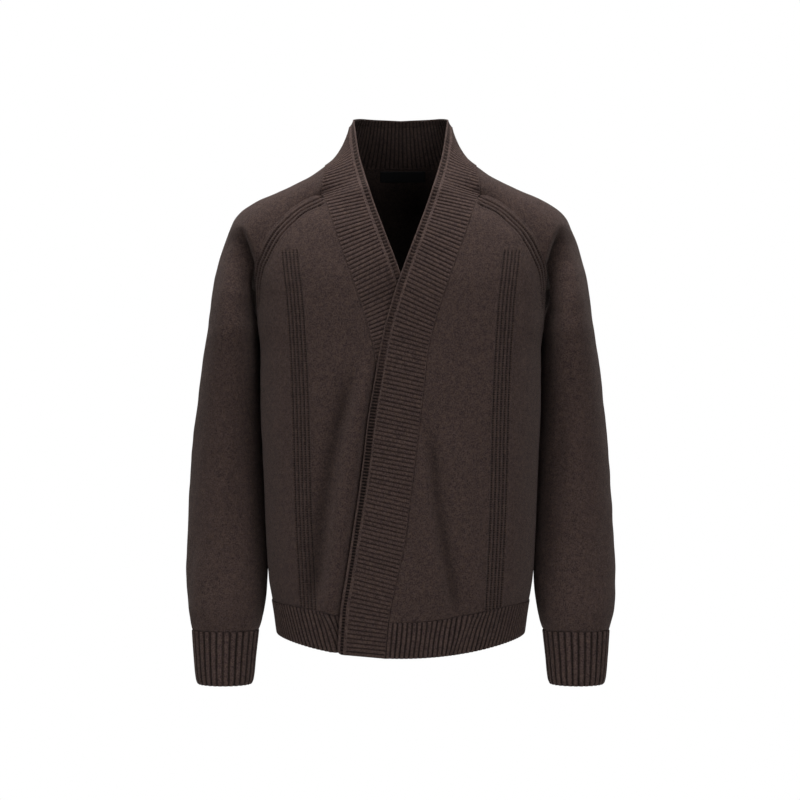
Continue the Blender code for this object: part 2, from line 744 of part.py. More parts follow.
def cardigan_pieces():
    """Every piece on its shared seams."""
    pieces = []
    back = back_grid()
    right_edge, left_edge = back[HEM_ROWS + SIDE_ROWS :, 0], back[HEM_ROWS + SIDE_ROWS :, -1]
    back_tops = {LEFT: left_edge, RIGHT: right_edge}
    neck_half = back.shape[1] // 2
    pieces.append(Piece("back", back[HEM_ROWS:], -1, PLAIN_WALL, YARN))
    hem = back[: HEM_ROWS + 1]
    places = rib_places(hem[-1], HEM_RIB_PITCH)
    pieces.append(
        Piece("hem_rib_back", hem, -1, RIB_WALL, RIB_YARN, (0, HEM_ROWS), places, rib_relief_columns)
    )
    for side, word in ((LEFT, "left"), (RIGHT, "right")):
        front = front_grid(side)
        pieces.append(
            Piece(f"front_{word}", front[HEM_ROWS:], -side, PLAIN_WALL, YARN, None, front_columns(),
                  front_relief)
        )
        hem = front[: HEM_ROWS + 1]
        places = rib_places(hem[-1], HEM_RIB_PITCH)
        pieces.append(
            Piece(f"hem_rib_front_{word}", hem, -side, RIB_WALL, RIB_YARN, (0, HEM_ROWS), places,
                  rib_relief_columns)
        )
        front_seam = front[HEM_ROWS + SIDE_ROWS :, 0] * (side, 1, 1)
        back_seam = back_tops[side] * (side, 1, 1)
        sleeve = sleeve_grid(front_seam[::-1], back_seam[::-1]) * (side, 1, 1)
        pieces.append(
            Piece(f"sleeve_{word}", sleeve, -side, PLAIN_WALL, YARN, closed_from=RAGLAN_ROWS)
        )
        cuff = np.array([ring_row(ring, ring.middle_y) for ring in CUFF_RINGS]) * (side, 1, 1)
        cuff[0] = sleeve[-1]
        ribs = rib_places(cuff[0], lengths_along(cuff[0])[-1] / CUFF_RIBS)
        pieces.append(
            Piece(f"cuff_{word}", cuff, -side, RIB_WALL, RIB_YARN, (0, 2, 3), ribs, rib_relief_columns,
                  closed_from=0)
        )
        neck = back[-1, neck_half:][::-1] if side == LEFT else back[-1, : neck_half + 1]
        seam = np.concatenate([front[:, -1], sleeve[0], neck[1:]])
        band, strip = band_grids(seam, len(front), side)
        ribs = rib_places(band[:, 1], BAND_RIB_PITCH)
        pieces.append(
            Piece(f"collar_band_{word}", band, -side, BAND_WALL, RIB_YARN, ribs, None, rib_relief_rows)
        )
        pieces.append(Piece(f"band_edge_{word}", strip, -side, STRIP_WALL, RIB_YARN))
    return pieces


def share_seam_normals(pieces):
    """Give border points that lie together one normal, so that neighbouring walls meet."""
    sums = defaultdict(lambda: np.zeros(3))
    for piece in pieces:
        for r, c in piece.border():
            sums[tuple(np.round(piece.points[r, c], 2))] += piece.normals[r, c]
    for piece in pieces:
        for r, c in piece.border():
            total = sums[tuple(np.round(piece.points[r, c], 2))]
            at_underarm = abs(piece.points[r, c, 2] - UNDERARM_Z) < 0.1 and abs(piece.points[r, c, 1]) < 0.1
            piece.normals[r, c] = (0, 0, -1) if at_underarm else unit(total)


def main():
    for old in list(bpy.data.objects):
        bpy.data.objects.remove(old, do_unlink=True)
    pieces = cardigan_pieces()
    share_seam_normals(pieces)
    for piece in pieces:
        piece.draw_back()
    pieces.append(add_label())
    for piece in pieces:
        vertices, faces = wall_mesh(piece)
        add_mesh(piece.name, vertices, faces, piece.colour)


main()
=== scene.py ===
"""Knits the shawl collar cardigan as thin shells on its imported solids, and sets the light and the camera.

Lengths are in millimetres up to the moment when a mesh is made. +Z is up, the front faces -Y and +X is the
wearer's left. The origin is the middle of the neck. Every shell starts from the middle surface of its cloth,
a grid of points. Its two faces lie half a wall away from it, with their ribs, ladders, seams and creases.
"""

import functools
import json
import math
from collections import defaultdict, namedtuple

import bpy
import numpy as np
from bpy.props import FloatProperty, FloatVectorProperty, IntProperty, PointerProperty
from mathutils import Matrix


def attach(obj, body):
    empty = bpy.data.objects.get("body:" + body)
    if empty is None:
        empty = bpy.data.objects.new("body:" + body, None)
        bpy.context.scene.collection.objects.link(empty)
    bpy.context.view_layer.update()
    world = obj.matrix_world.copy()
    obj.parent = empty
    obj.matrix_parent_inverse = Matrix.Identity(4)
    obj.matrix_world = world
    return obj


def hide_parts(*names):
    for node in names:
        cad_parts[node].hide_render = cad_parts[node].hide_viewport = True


bl_info = {
    "name": "Shawl Collar Cardigan",
    "version": (1, 0, 0),
    "blender": (4, 5, 0),
    "location": "3D View > Sidebar > Cardigan",
    "description": "Knits a shawl collar cardigan with raglan sleeves on its packed solids",
    "category": "Mesh",
}

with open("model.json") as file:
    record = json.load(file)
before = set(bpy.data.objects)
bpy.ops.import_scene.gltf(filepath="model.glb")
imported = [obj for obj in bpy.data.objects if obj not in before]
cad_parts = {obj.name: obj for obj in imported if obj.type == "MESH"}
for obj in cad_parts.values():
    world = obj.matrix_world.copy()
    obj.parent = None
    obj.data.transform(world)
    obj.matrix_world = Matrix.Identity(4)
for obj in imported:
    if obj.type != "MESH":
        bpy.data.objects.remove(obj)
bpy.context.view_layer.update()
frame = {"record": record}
SLOT_COLOUR = {slot["slot"]: tuple(slot["base_color"]) for slot in frame["record"]["materials"]}

MM = 0.001
LEFT, RIGHT = 1, -1
SEAM_GAP = 0.36
PLAIN_WALL = 2.4
RIB_WALL = 2.8
BAND_WALL = 3.4
STRIP_WALL = 3.0
LABEL_WALL = 0.6
STRIP_WIDTH = 11.0
RIB_RISE = 0.9

# The torso's middle surface, level by level: half widths and depths of its front and its back.
Level = namedtuple("Level", "z front_width front_depth back_width back_depth squareness")
TORSO = (
    Level(-665, 165, 135, 165, 112, 2.6), Level(-627, 171.5, 138, 171.5, 118, 2.6),
    Level(-605, 174.5, 139, 174.5, 120, 2.6), Level(-585, 177.5, 140, 177.5, 121, 2.65),
    Level(-555, 182.5, 141, 182.5, 122, 2.7), Level(-500, 186, 141, 186, 123, 2.75),
    Level(-400, 190, 140, 190, 125, 2.8), Level(-308, 194, 139, 194, 127, 2.8),
    Level(-240, 194, 138, 194, 128, 2.8), Level(-206, 198, 137, 198, 128, 2.8),
    Level(-180, 200, 136, 199, 127, 2.75), Level(-150, 203, 134, 198, 127, 2.7),
    Level(-120, 204.5, 128, 192.5, 124, 2.65), Level(-90, 201, 120, 181, 119, 2.55),
    Level(-60, 182, 110, 166, 113, 2.45), Level(-40, 161, 98, 153, 109, 2.4),
    Level(-27, 143, 90, 145, 105, 2.4), Level(0, 140, 85, 121, 97, 2.4), Level(30, 140, 80, 98, 86, 2.4),
)
BACK_SQUARENESS = 2.4

# The raglan seams, from the underarm to the neck, as seen from the front.
At = namedtuple("At", "z x")
FRONT_RAGLAN = (
    At(-206, 198), At(-180, 198.8), At(-150, 199.5), At(-122, 197), At(-109, 192), At(-82, 178.5),
    At(-60, 159), At(-40, 136), At(-27, 109),
)
BACK_RAGLAN = (
    At(-206, 198), At(-180, 196), At(-150, 189), At(-120, 175), At(-90, 158), At(-60, 139), At(-30, 117),
    At(0, 95), At(22, 80),
)
UNDERARM_Z = -206
# Above this level the columns of the panels spread evenly.
EVEN_FROM_Z, EVEN_OVER = -165, 50

# Rows of points: up a raglan, up a side seam and up the hem rib, and the row at the underarm.
RAGLAN_ROWS = 138
SIDE_ROWS = 262
HEM_ROWS = 32
PANEL_TOP = HEM_ROWS + SIDE_ROWS
# Columns of a front: raglan stripe, plain part, ladder stripe, plain part. Half the back's: side, middle.
FRONT_COUNTS = (26, 16, 44, 48)
BACK_COUNTS = (16, 64)
# How a front's columns part: the raglan stripe's share of its own width, how much more it gets above the
# underarm and over what height, then its most and the least of the next two parts, as shares of the row.
RAGLAN_PART, RAGLAN_PART_MORE, RAGLAN_PART_OVER = 0.35, 0.45, 40
RAGLAN_PART_MOST, PLAIN_PART_LEAST, STRIPE_PART_LEAST = 0.36, 0.12, 0.10
# The back's side columns lie beyond this share of its half width.
BACK_SIDE_PART = 0.86
# Columns of a sleeve, over its front and over its back.
SLEEVE_COUNTS = (100, 50)
SLEEVE_LOWER_ROWS = 134
CUFF_ROWS = 48
BAND_COLUMNS = 14
STRIP_COLUMNS = 14
# Columns of points across a band and across its strip, finer where the chains and the holes lie.
BAND_STOPS = (
    0, 0.12, 0.24, 0.36, 0.5, 0.65, 0.85, 1.2, 2, 3.5, 5.5, 8, 10.5, 12, 12.8, 13.15, 13.35, 13.5, 13.62,
    13.74, 13.86, 14,
)

# The lines where panels meet the hem rib, and its lower edge: at the side seams, at the front band and
# in the middle of the back.
HEM_TOP = {"side": -585, "front": -606, "back": -595}
HEM_EDGE = {"side": -631, "front": -654, "back": -641}
# How sharply rows bend up to the side seams: at the hem's edge, above the hem rib and at the underarm.
ROW_BENDS = (2.2, 4.5, 1.2)
NECK_BACK_Z = 25
FRONT_TIP_DROP = 6

# The front band's seam to the front and its free edge, from the hem to the neck.
BandRow = namedtuple("BandRow", "seam_x seam_z edge_x edge_z")
BAND = (
    BandRow(-21, -654, -74, -650), BandRow(-16, -600, -70, -594), BandRow(-6, -552, -62, -543),
    BandRow(5, -500, -54, -491), BandRow(12, -447, -46, -439), BandRow(19, -392, -39, -387),
    BandRow(25, -342, -33, -335), BandRow(31, -289, -24, -282), BandRow(37, -238, -15, -230),
    BandRow(48, -196, -2, -180), BandRow(63, -150, 14, -132), BandRow(82, -97, 33, -81),
    BandRow(98, -50, 48, -39), BandRow(104, -33, 54, -20),
)
# The free edge of the strip round the neck, seen from the front.
EDGE_ROUND_NECK = (At(-4, 58.5), At(28, 67.5), At(58, 72), At(80, 73))
# The free edge round the neck, by the share of the neck seam from the raglan to the middle of the back,
# and how far the collar hollows between seam and edge.
CollarRow = namedtuple("CollarRow", "share edge_x edge_y edge_z hollow")
COLLAR = (
    CollarRow(0.03, 58.5, -62, -5, 0), CollarRow(0.17, 66.5, -31, 28, 2), CollarRow(0.36, 70, 1, 58, 4),
    CollarRow(0.53, 70.5, 35, 78.5, 4), CollarRow(0.70, 54, 65, 83, 3), CollarRow(0.85, 29, 75, 82.5, 2),
    CollarRow(1.00, 0, 78, 81.5, 2),
)
# The collar's cloth hollows towards this place.
COLLAR_CENTRE = (0, 10, 0)

# The sleeve's top line from the neck to the level of the underarm, as seen from the front.
SLEEVE_TOP = (
    At(17.5, 104.5), At(3.5, 125), At(-12.5, 157), At(-23.5, 184), At(-35, 207.5), At(-45.5, 223),
    At(-56, 232), At(-67, 237), At(-84, 244), At(-112, 253), At(-140, 260), At(-168, 264), At(-206, 268.5),
)
# Cap sections by the share of the way from neck to underarm.
Cap = namedtuple("Cap", "share middle_y front_depth back_depth")
SLEEVE_CAP = (
    Cap(0.0, 0, 70, 66), Cap(0.2, 4, 74, 78), Cap(0.6, 10, 77, 78), Cap(1.0, 6, 76, 76),
)
# Level sections of the sleeve below the underarm, and of the cuff.
Ring = namedtuple("Ring", "z inner outer middle_y half_depth")
SLEEVE_RINGS = (
    Ring(-206, 198.0, 268.5, 6, 76), Ring(-216, 200.0, 270, 9, 76), Ring(-238, 197.2, 274.5, 14, 75.5),
    Ring(-268, 196.6, 279.5, 19, 74.5), Ring(-303, 196.3, 284, 23, 73), Ring(-343, 194.8, 288.5, 26, 71),
    Ring(-383, 193.3, 292, 26, 68), Ring(-423, 191.8, 294.5, 24, 65), Ring(-463, 190.2, 297, 19, 61.5),
    Ring(-503, 188.7, 298.5, 13, 58), Ring(-543, 187.2, 299.5, 4, 55), Ring(-573, 188.2, 298, -4, 51.5),
    Ring(-597, 191.2, 295.5, -11, 48), Ring(-614, 194.8, 292, -15, 43), Ring(-627, 199, 288.5, -18, 38),
)
# Rings from the underarm until the sleeve's seam lies at the middle of its inner side.
SEAM_SETTLES = 5
CUFF_RINGS = (
    Ring(-627, 199, 288.5, -18, 38), Ring(-664, 203, 285.5, -22, 36), Ring(-694, 206, 282, -26, 34.5),
    Ring(-701, 208.5, 279.5, -27, 32.5),
)

# The vertical ladder stripe: its middle, and its width with a plain margin.
DECOR_LINE = (
    At(-654, 119), At(-575, 124.5), At(-443, 131), At(-308, 134.5), At(-168, 142.5), At(-119, 148.5),
    At(-20, 158),
)
DECOR_WIDTH = 29
DECOR_TOP_Z, DECOR_TOP_FADE = -104, 5
RAGLAN_DECOR_WIDTH = 27
RAGLAN_DECOR_END_Z, RAGLAN_DECOR_FADE = -192, 20
# Ladder lines: how many, how far apart, and how far the first lies from the raglan seam.
STRIPE_LINES, STRIPE_PITCH = 5, 5.75
RAGLAN_LINES, RAGLAN_PITCH, RAGLAN_FIRST = 3, 7.0, 5.8
# The raglan lines draw together towards the neck.
RAGLAN_NARROW, RAGLAN_NARROWS_OVER = 1.1, 48
# The stripe stops this many of the raglan lines' pitches from them, and the lines stop before the band.
STRIPE_KEEPS_OFF, STRIPE_FADE = 0.6, 0.3
BAND_KEEPS_OFF, BAND_FADE = 2.5, 2
LADDER_WIDTH, LADDER_DEPTH = 1.35, 1.3
LADDER_RIDGE, RIDGE_FROM = 0.4, 1.5
# Painted shade along the ladder lines' grooves: how much, and over what width.
LADDER_DARK, LADDER_DARK_WIDTH = 0.25, 1.1
LADDER_HOLES_REACH = 0.25
LADDER_PERIOD = 3.2
RELIEF_OVER_HEM, RELIEF_LEAD = 4, 1

# Soft folds: each a line of three places with a half width and a height (a trough is negative). Across, a
# front's and the back's are counted as seen from the front, and a sleeve's from its top line.
Fold = namedtuple("Fold", "top middle foot half_width height")
FRONT_FOLDS = (
    Fold((-42, -245), (-68, -400), (-93, -590), 12, 7.0),
    Fold((-60, -250), (-97, -400), (-118, -570), 14, -7.0),
    Fold((38, -325), (50, -445), (76, -590), 12.5, -7.0), Fold((62, -330), (80, -460), (98, -590), 20, 4.5),
    Fold((26, -345), (34, -460), (52, -590), 12, 4.0),
)
BACK_FOLDS = (
    Fold((-92, -190), (-70, -380), (-84, -590), 18, -3.2),
    Fold((-60, -260), (-38, -430), (-46, -600), 22, 2.4),
    Fold((88, -160), (80, -350), (62, -585), 20, -2.8),
    Fold((118, -210), (112, -400), (104, -590), 16, 2.2), Fold((6, -330), (14, -470), (22, -600), 17, -2.0),
)
SLEEVE_FOLDS = (
    Fold((-34, -250), (-58, -330), (-72, -420), 11, -2.2),
    Fold((-20, -300), (-38, -400), (-64, -500), 14, 1.6),
    Fold((46, -270), (62, -380), (52, -500), 14, -2.4), Fold((10, -440), (-8, -520), (-26, -600), 13, -1.8),
    Fold((70, -480), (58, -550), (40, -610), 12, 2.0),
)
# They fade in below their top and out above their foot, where a share of them is left.
FOLD_STARTS_OVER, FOLD_ENDS_OVER, FOLD_LEFT_AT_FOOT = 70, 45, 0.55
# The back's folds fade beside its seams and above its hem rib, and a right sleeve's lie a little apart.
BACK_FOLD_SIDES, BACK_FOLD_HEM = 30, 40
RIGHT_SLEEVE_TURN = -0.9
# Painted shade in the troughs of the fronts' folds: how much, the depth where it is full, and how sharply it
# narrows.
TROUGH_SHADE, TROUGH_DEEP, TROUGH_FALL = 0.5, 7.0, 1.5
# How deep the right front lies under the left one, and where and over what width it goes down.
UNDERLAP_DEPTH, UNDERLAP_LEAD, UNDERLAP_RAMP = 12.5, 14.0, 22.0

# The fold that runs from the top of each sleeve down into the armpit.
ARM_FOLD_LINE = (At(-170, 192), At(-134, 196), At(-114, 202.5), At(-90, 210), At(-64, 221))
ARM_FOLD_DEPTH, ARM_FOLD_SHARP, ARM_FOLD_SOFT, ARM_FOLD_FALL = 15, 2.6, 36, 1.5
ARM_LIP_RISE, ARM_LIP_WIDTH, ARM_LIP_AT = 2.2, 9, 7.2
ARM_FOLD_STARTS_OVER, ARM_FOLD_ENDS_BELOW, ARM_FOLD_ENDS_OVER = 30, 15, 40
# It lies on the sleeve's front, and fades over this depth and over these columns beside the seam.
ARM_FOLD_FRONT, ARM_FOLD_FADE_COLUMNS = 30, 3
# Painted shade on the sleeve beyond the fold: how much, how far out it fades, and where and over what width
# it begins.
ARM_FOLD_DARK, ARM_FOLD_DARK_REACH = 0.85, 13.0
ARM_FOLD_DARK_LEAD, ARM_FOLD_DARK_OVER = 2.0, 2.5

# How much of its bulge the sleeve loses beside the raglan seam, where the seam lies far enough out.
CAP_FLATTENING, CAP_FLAT_FROM, CAP_FLAT_OVER = 0.65, 0.55, 0.3
# How near to the section's ends a cap may start, as a cosine.
CAP_TURN_LIMITS = (-0.97, 0.985)
# How far and over what length the cloth is softened across the raglan seams and at the underarm.
RAGLAN_SOFTENING, RAGLAN_REACH, RAGLAN_END_FADE = 15.0, 38.0, 25
RAGLAN_START_ROWS, RAGLAN_END_ROWS = 22, 9
UNDERARM_SOFTENING, UNDERARM_REACH, UNDERARM_SIDE_FADE, UNDERARM_TOP_FADE = 15.0, 70.0, 25, 60

# How the cloth ends at each kind of border: how deep it dips, over what length, and how much shade is
# painted along it, over what length.
BorderKind = namedtuple("BorderKind", "dip reach dark dark_reach")
BORDER_KINDS = {
    "seam": BorderKind(0.7, 1.8, 1.0, 1.5),
    "join": BorderKind(0.3, 1.4, 0.15, 0.9),
    "chain": BorderKind(0.3, 1.3, 0.12, 0.9),
}
# A sleeve's side seams fade over this many rows on each side of the underarm, where it closes.
CLOSED_FADE_ROWS = 12
EDGE_RADIUS, EDGE_THINNING = 2.6, 0.72
CORNER_RADIUS = 6.0

# Painted shade on the inner faces, and how much more of it where the garment's body closes them in; it grows
# downwards from a level at the neck's opening over a given height.
INSIDE_SHADE, INSIDE_DEEPER = 0.62, 0.3
NECK_OPEN_Z, NECK_SHADE_OVER = 40, 60
# The unevenness of the cloth: waves of many directions and lengths.
RUFFLE_WAVES, RUFFLE_LENGTHS, RUFFLE_FULL_LENGTH, RUFFLE_STARTS = 9, (14, 55), 30, 6.3
RUFFLE_HEIGHT, SLEEVE_RUFFLE = 0.16, 0.2

# Ribs: points from one groove to the next, and how full the ridges are.
RIB_STEPS = 6
HALF_RIB = RIB_STEPS // 2
RIB_FULLNESS = 0.8
RIB_UNEVENNESS = (0.85, 1.12)
# Painted shade in the ribs' grooves: the least share of it that an uneven rib keeps, and its share at each
# step from one groove to the next.
LEAST_GROOVE_SHADE = 0.8
GROOVE_SHADE = (1.0, 0.6, 0.15, 0.0, 0.15, 0.6)
# The band's chain of edge stitches at its seam and at its free edge, in millimetres from them.
CHAIN_AT, CHAIN_WIDTH, CHAIN_RISE, CHAIN_LINKS = 0.9, 0.6, 0.4, 0.3
RIBS_START, RIBS_FULL = 0.4, 1.4
# How far the ribs lean: how much higher they end at the band's free edge. It grows from the hem up, and
# is gone before the neck.
RIB_LEAN, RIB_LEAN_STARTS_OVER, RIB_LEAN_STOPS_BEFORE, RIB_LEAN_STOPS_OVER = 5.5, 90, 20, 120
# How much of the grooves' painted shade goes on the outer face of the band.
BAND_GROOVE_DARK = 0.72
# The hem's ribs: how far they lean out and waver, beyond its ends and away from its band.
HEM_LEAN, HEM_LEANS_FROM, HEM_LEANS_OVER = 0.3, 40, 90
HEM_WAVER, HEM_WAVE, HEM_SLOW_WAVE, HEM_FREE_OVER = 0.7, 17, 29, 35
HEM_SWAY, HEM_TWIST = 2.5, 4

# The strip beyond the band: a ladder of holes between the band's chain edge and an outer cord.
OPEN_BETWEEN_RUNGS = (0.2, 0.6, 1.0, 1.0, 1.0, 0.6)
RUNG_STEPS = len(OPEN_BETWEEN_RUNGS)
# Level by level: the rungs' pitch, the holes' width, and how much shade is painted in the holes.
Rungs = namedtuple("Rungs", "z pitch hole dark")
STRIP_RUNGS = (
    Rungs(-660, 4.2, 3.6, 1.0), Rungs(-520, 4.2, 4.6, 1.0), Rungs(-440, 4.3, 6.4, 1.0),
    Rungs(-370, 4.3, 7.8, 1.0), Rungs(-300, 4.3, 8.0, 0.9), Rungs(-230, 4.4, 7.4, 0.5),
    Rungs(-170, 4.6, 6.6, 0.5), Rungs(-60, 5.2, 6.2, 0.7), Rungs(0, 6.4, 6.2, 0.8),
    Rungs(100, 7.0, 6.0, 0.8),
)
STRIP_CHAIN, STRIP_CHAIN_SPREAD, STRIP_CHAIN_SHARE = 1.2, 0.9, 0.7
CORD_WIDTH, CORD_RISE = 1.4, 0.4
HOLE_DEPTH, HOLE_FADE = 1.9, 1.2
# On its inner side the strip is as thick as the band beside it, and its ribs stop at the cord.
STRIP_THINS_OVER, INNER_RIBS_STOP, INNER_RIBS_STOP_OVER = 3, 0.5, 2.5

LABEL = {"x": 3, "width": 65, "top": 21.5, "height": 15}
LABEL_POINTS = {"columns": 53, "rows": 17}
LABEL_STITCH_AT, LABEL_STITCH_WIDTH, LABEL_STITCH_DEPTH = 1.8, 0.6, 0.18
# Painted shade that darkens the tape's colour where it sits inside the neck, and how much lighter the
# twill's threads are.
TAPE_SHADE, TWILL_LIGHTER = 0.55, 1.8

# Stitches: how far their legs lean, how high they stay at their sides and how full they are.
LEG_LEAN, LEG_SIDES, LEG_FULLNESS = 1.5, 0.35, 0.7
# How much of the flecks lies in patches, and the second fibre's own noise, moved away from the first.
PATCH_SHARE, TINT_SCALE, TINT_MOVED = 0.45, 0.6, (3.1, 7.7, 1.3)
# The ladder lines' small holes, whose darkness is painted shade in them.
MANY_LINES, HOLE_STRENGTH, HOLE_FULLNESS, HOLE_WAVE, HOLE_LEVEL = 100, 0.5, 0.4, 1.4, 0.55
# How much shade is painted into the gaps between stitches, how high the fuzz stands, how much shade is
# painted into the hollows, and how much higher a course of the ribs is and how much lighter the same yarn is
# painted on the ribs, as painted light that makes up for their shaded grooves.
GAP_SHADE, FUZZ, PLAIN_SHADE, RIB_SHADE, RIB_COURSE, RIB_PAINTED_LIGHT = 0.35, 0.45, 0.85, 0.88, 1.15, 1.25

# The lights: place, size, and the setting that holds their power. They aim at one place.
Lamp = namedtuple("Lamp", "name at size power")
LAMPS = (
    Lamp("key", (-2.2, -2.5, 1.1), 1.6, "key_power"),
    Lamp("fill", (1.5, -2.9, 1.0), 1.6, "fill_power"),
    Lamp("back_left", (-1.9, 2.6, 1.1), 1.8, "back_power"),
    Lamp("back_right", (1.9, 2.6, 1.0), 1.8, "back_power"),
    Lamp("top", (0.0, -0.3, 2.6), 1.6, "top_power"),
)
LAMPS_AIM = (0, 0, -0.3)
# The floor is a disc of rings in metres, which fades to white for the camera between two distances.
FLOOR_RADII, FLOOR_SIDES, FLOOR_FADE = (1.0, 2.0, 2.9), 96, (0.6, 2.7)
SENSOR_WIDTH = 36


def smooth(places, values, at):
    """A monotone cubic curve through the values at rising places."""
    places = np.asarray(places, float)
    values = np.asarray(values, float)
    step = np.diff(places)
    rise = np.diff(values) / step
    slope = np.empty(len(places))
    slope[0], slope[-1] = rise[0], rise[-1]
    for i in range(1, len(places) - 1):
        before, after = rise[i - 1], rise[i]
        if before * after <= 0:
            slope[i] = 0
        else:
            heavy, light = 2 * step[i] + step[i - 1], step[i] + 2 * step[i - 1]
            slope[i] = (heavy + light) / (heavy / before + light / after)
    at = np.clip(at, places[0], places[-1])
    i = np.clip(np.searchsorted(places, at, side="right") - 1, 0, len(step) - 1)
    t = (at - places[i]) / step[i]
    return (
        values[i] * (1 + 2 * t) * (1 - t) ** 2
        + values[i + 1] * t * t * (3 - 2 * t)
        + step[i] * t * (1 - t) * (slope[i] * (1 - t) - slope[i + 1] * t)
    )


def read(rows, name, at, by="z"):
    """A table's value at a place, on a smooth curve through its rows."""
    return smooth([getattr(row, by) for row in rows], [getattr(row, name) for row in rows], at)


def ease(t):
    t = np.clip(t, 0, 1)
    return t * t * (3 - 2 * t)


def hill(distance, width):
    return np.exp(-((distance / width) ** 2))


def unit(vectors):
    length = np.linalg.norm(vectors, axis=-1, keepdims=True)
    return vectors / np.maximum(length, 1e-9)


def lengths_along(points):
    """The way from the first point to each, along the first axis."""
    steps = np.linalg.norm(np.diff(points, axis=0), axis=-1)
    return np.concatenate([np.zeros_like(steps[:1]), np.cumsum(steps, axis=0)])


def lengths_across(points):
    """The way from the first column to each point of a grid."""
    return lengths_along(points.swapaxes(0, 1)).T


def on_line(at, along, points):
    """Points of a line at other places along it."""
    return np.stack([np.interp(at, along, points[:, k]) for k in range(points.shape[1])], -1)


def superellipse(x, width, depth, squareness):
    """The depth and the outward direction of a torso half at a place seen from the front."""
    ratio = np.minimum(np.abs(x) / width, 1)
    y = depth * (1 - ratio**squareness) ** (1 / squareness)
    across = np.sign(x) * ratio ** (squareness - 1) / width
    forward = (y / depth) ** (squareness - 1) / depth
    size = np.hypot(across, forward)
    return y, across / size, forward / size


def fold_height(folds, across, z):
    """The height of soft folds at places across and up the cloth."""
    total = 0.0
    for fold in folds:
        places, levels = zip(fold.foot, fold.middle, fold.top)
        start = ease((fold.top[1] - z) / FOLD_STARTS_OVER)
        end = ease((z - fold.foot[1]) / FOLD_ENDS_OVER + FOLD_LEFT_AT_FOOT)
        total = total + fold.height * hill(across - smooth(levels, places, z), fold.half_width) * start * end
    return total


def overlap_edge_x(z):
    """The outer edge of the left band's strip, which lies over the right front."""
    edge = [At(row.edge_z, row.edge_x) for row in BAND] + list(EDGE_ROUND_NECK)
    return read(edge, "x", z) - STRIP_WIDTH


def front_point(x, z, side):
    """A point of a front's middle surface; x is counted towards the front's own side."""
    sizes = ("front_width", "front_depth", "squareness")
    width, depth, squareness = (read(TORSO, name, z) for name in sizes)
    y, across, forward = superellipse(x, width, depth, squareness)
    out = fold_height(FRONT_FOLDS, side * x, z)
    if side == RIGHT:
        under = (side * x - overlap_edge_x(z) + UNDERLAP_LEAD) / UNDERLAP_RAMP
        out = out - UNDERLAP_DEPTH * ease(under)
    return np.stack([side * (x + across * out), -(y + forward * out), z + 0 * x], -1)


def back_point(x, z):
    width, depth = read(TORSO, "back_width", z), read(TORSO, "back_depth", z)
    y, _, _ = superellipse(x, width, depth, BACK_SQUARENESS)
    return np.stack([x, y, z + 0 * x], -1)


def edge_levels(raglan, samples=400):
    """Levels of a panel's rows at its outer edge: hem rib, side seam and raglan, each parted evenly."""
    hem = np.linspace(HEM_EDGE["side"], HEM_TOP["side"], HEM_ROWS + 1)
    side = np.linspace(HEM_TOP["side"], UNDERARM_Z, SIDE_ROWS + 1)
    z = np.linspace(raglan[0].z, raglan[-1].z, samples)
    along = lengths_along(np.stack([read(raglan, "x", z), z], -1))
    up = np.interp(np.linspace(0, along[-1], RAGLAN_ROWS + 1), along, z)
    return np.concatenate([hem[:-1], side[:-1], up])


def panel_rows(raglan, width_name, end, tip_z):
    """Each row of a panel: the level and x of its outer end, the level of its other end, its bend."""
    edge_z = edge_levels(raglan)
    hem = np.linspace(HEM_EDGE[end], HEM_TOP[end], HEM_ROWS + 1)
    up = (edge_z[HEM_ROWS:] - HEM_TOP["side"]) / (raglan[-1].z - HEM_TOP["side"])
    other_z = np.concatenate([hem[:-1], HEM_TOP[end] + up * (tip_z - HEM_TOP[end])])
    edge_x = [read(TORSO, width_name, z) if z < UNDERARM_Z else read(raglan, "x", z) for z in edge_z]
    bends = np.interp(np.arange(len(edge_z)), [0, HEM_ROWS, PANEL_TOP], ROW_BENDS)
    return zip(edge_z, edge_x, other_z, bends)


def across_row(z_edge, z_middle, x_edge, breaks, counts, width_name, bend):
    """Places of a row from its outer edge through the breaks (x values) to its last one.

    They are evenly spread in the angle round the torso, closer together at the side seam.
    """
    width = read(TORSO, width_name, z_edge)
    stops = np.arcsin(np.clip(np.array([x_edge, *breaks]) / width, -1, 1))
    angles = []
    for n, count in enumerate(counts):
        share = np.arange(count) / count
        angles.extend(stops[n] + (stops[n + 1] - stops[n]) * share)
    angles = np.array([*angles, stops[-1]])
    evenly = np.linspace(stops[0], stops[-1], len(angles))
    angles += (evenly - angles) * ease((z_edge - EVEN_FROM_Z) / EVEN_OVER)
    height = np.cos(angles)
    share = (height - height[0]) / max(height.max() - height[0], 1e-9)
    z = z_edge + (z_middle - z_edge) * np.clip(share, 0, 1) ** bend
    x = np.sin(angles) * width
    x[0], x[-1] = x_edge, breaks[-1]
    return x, z


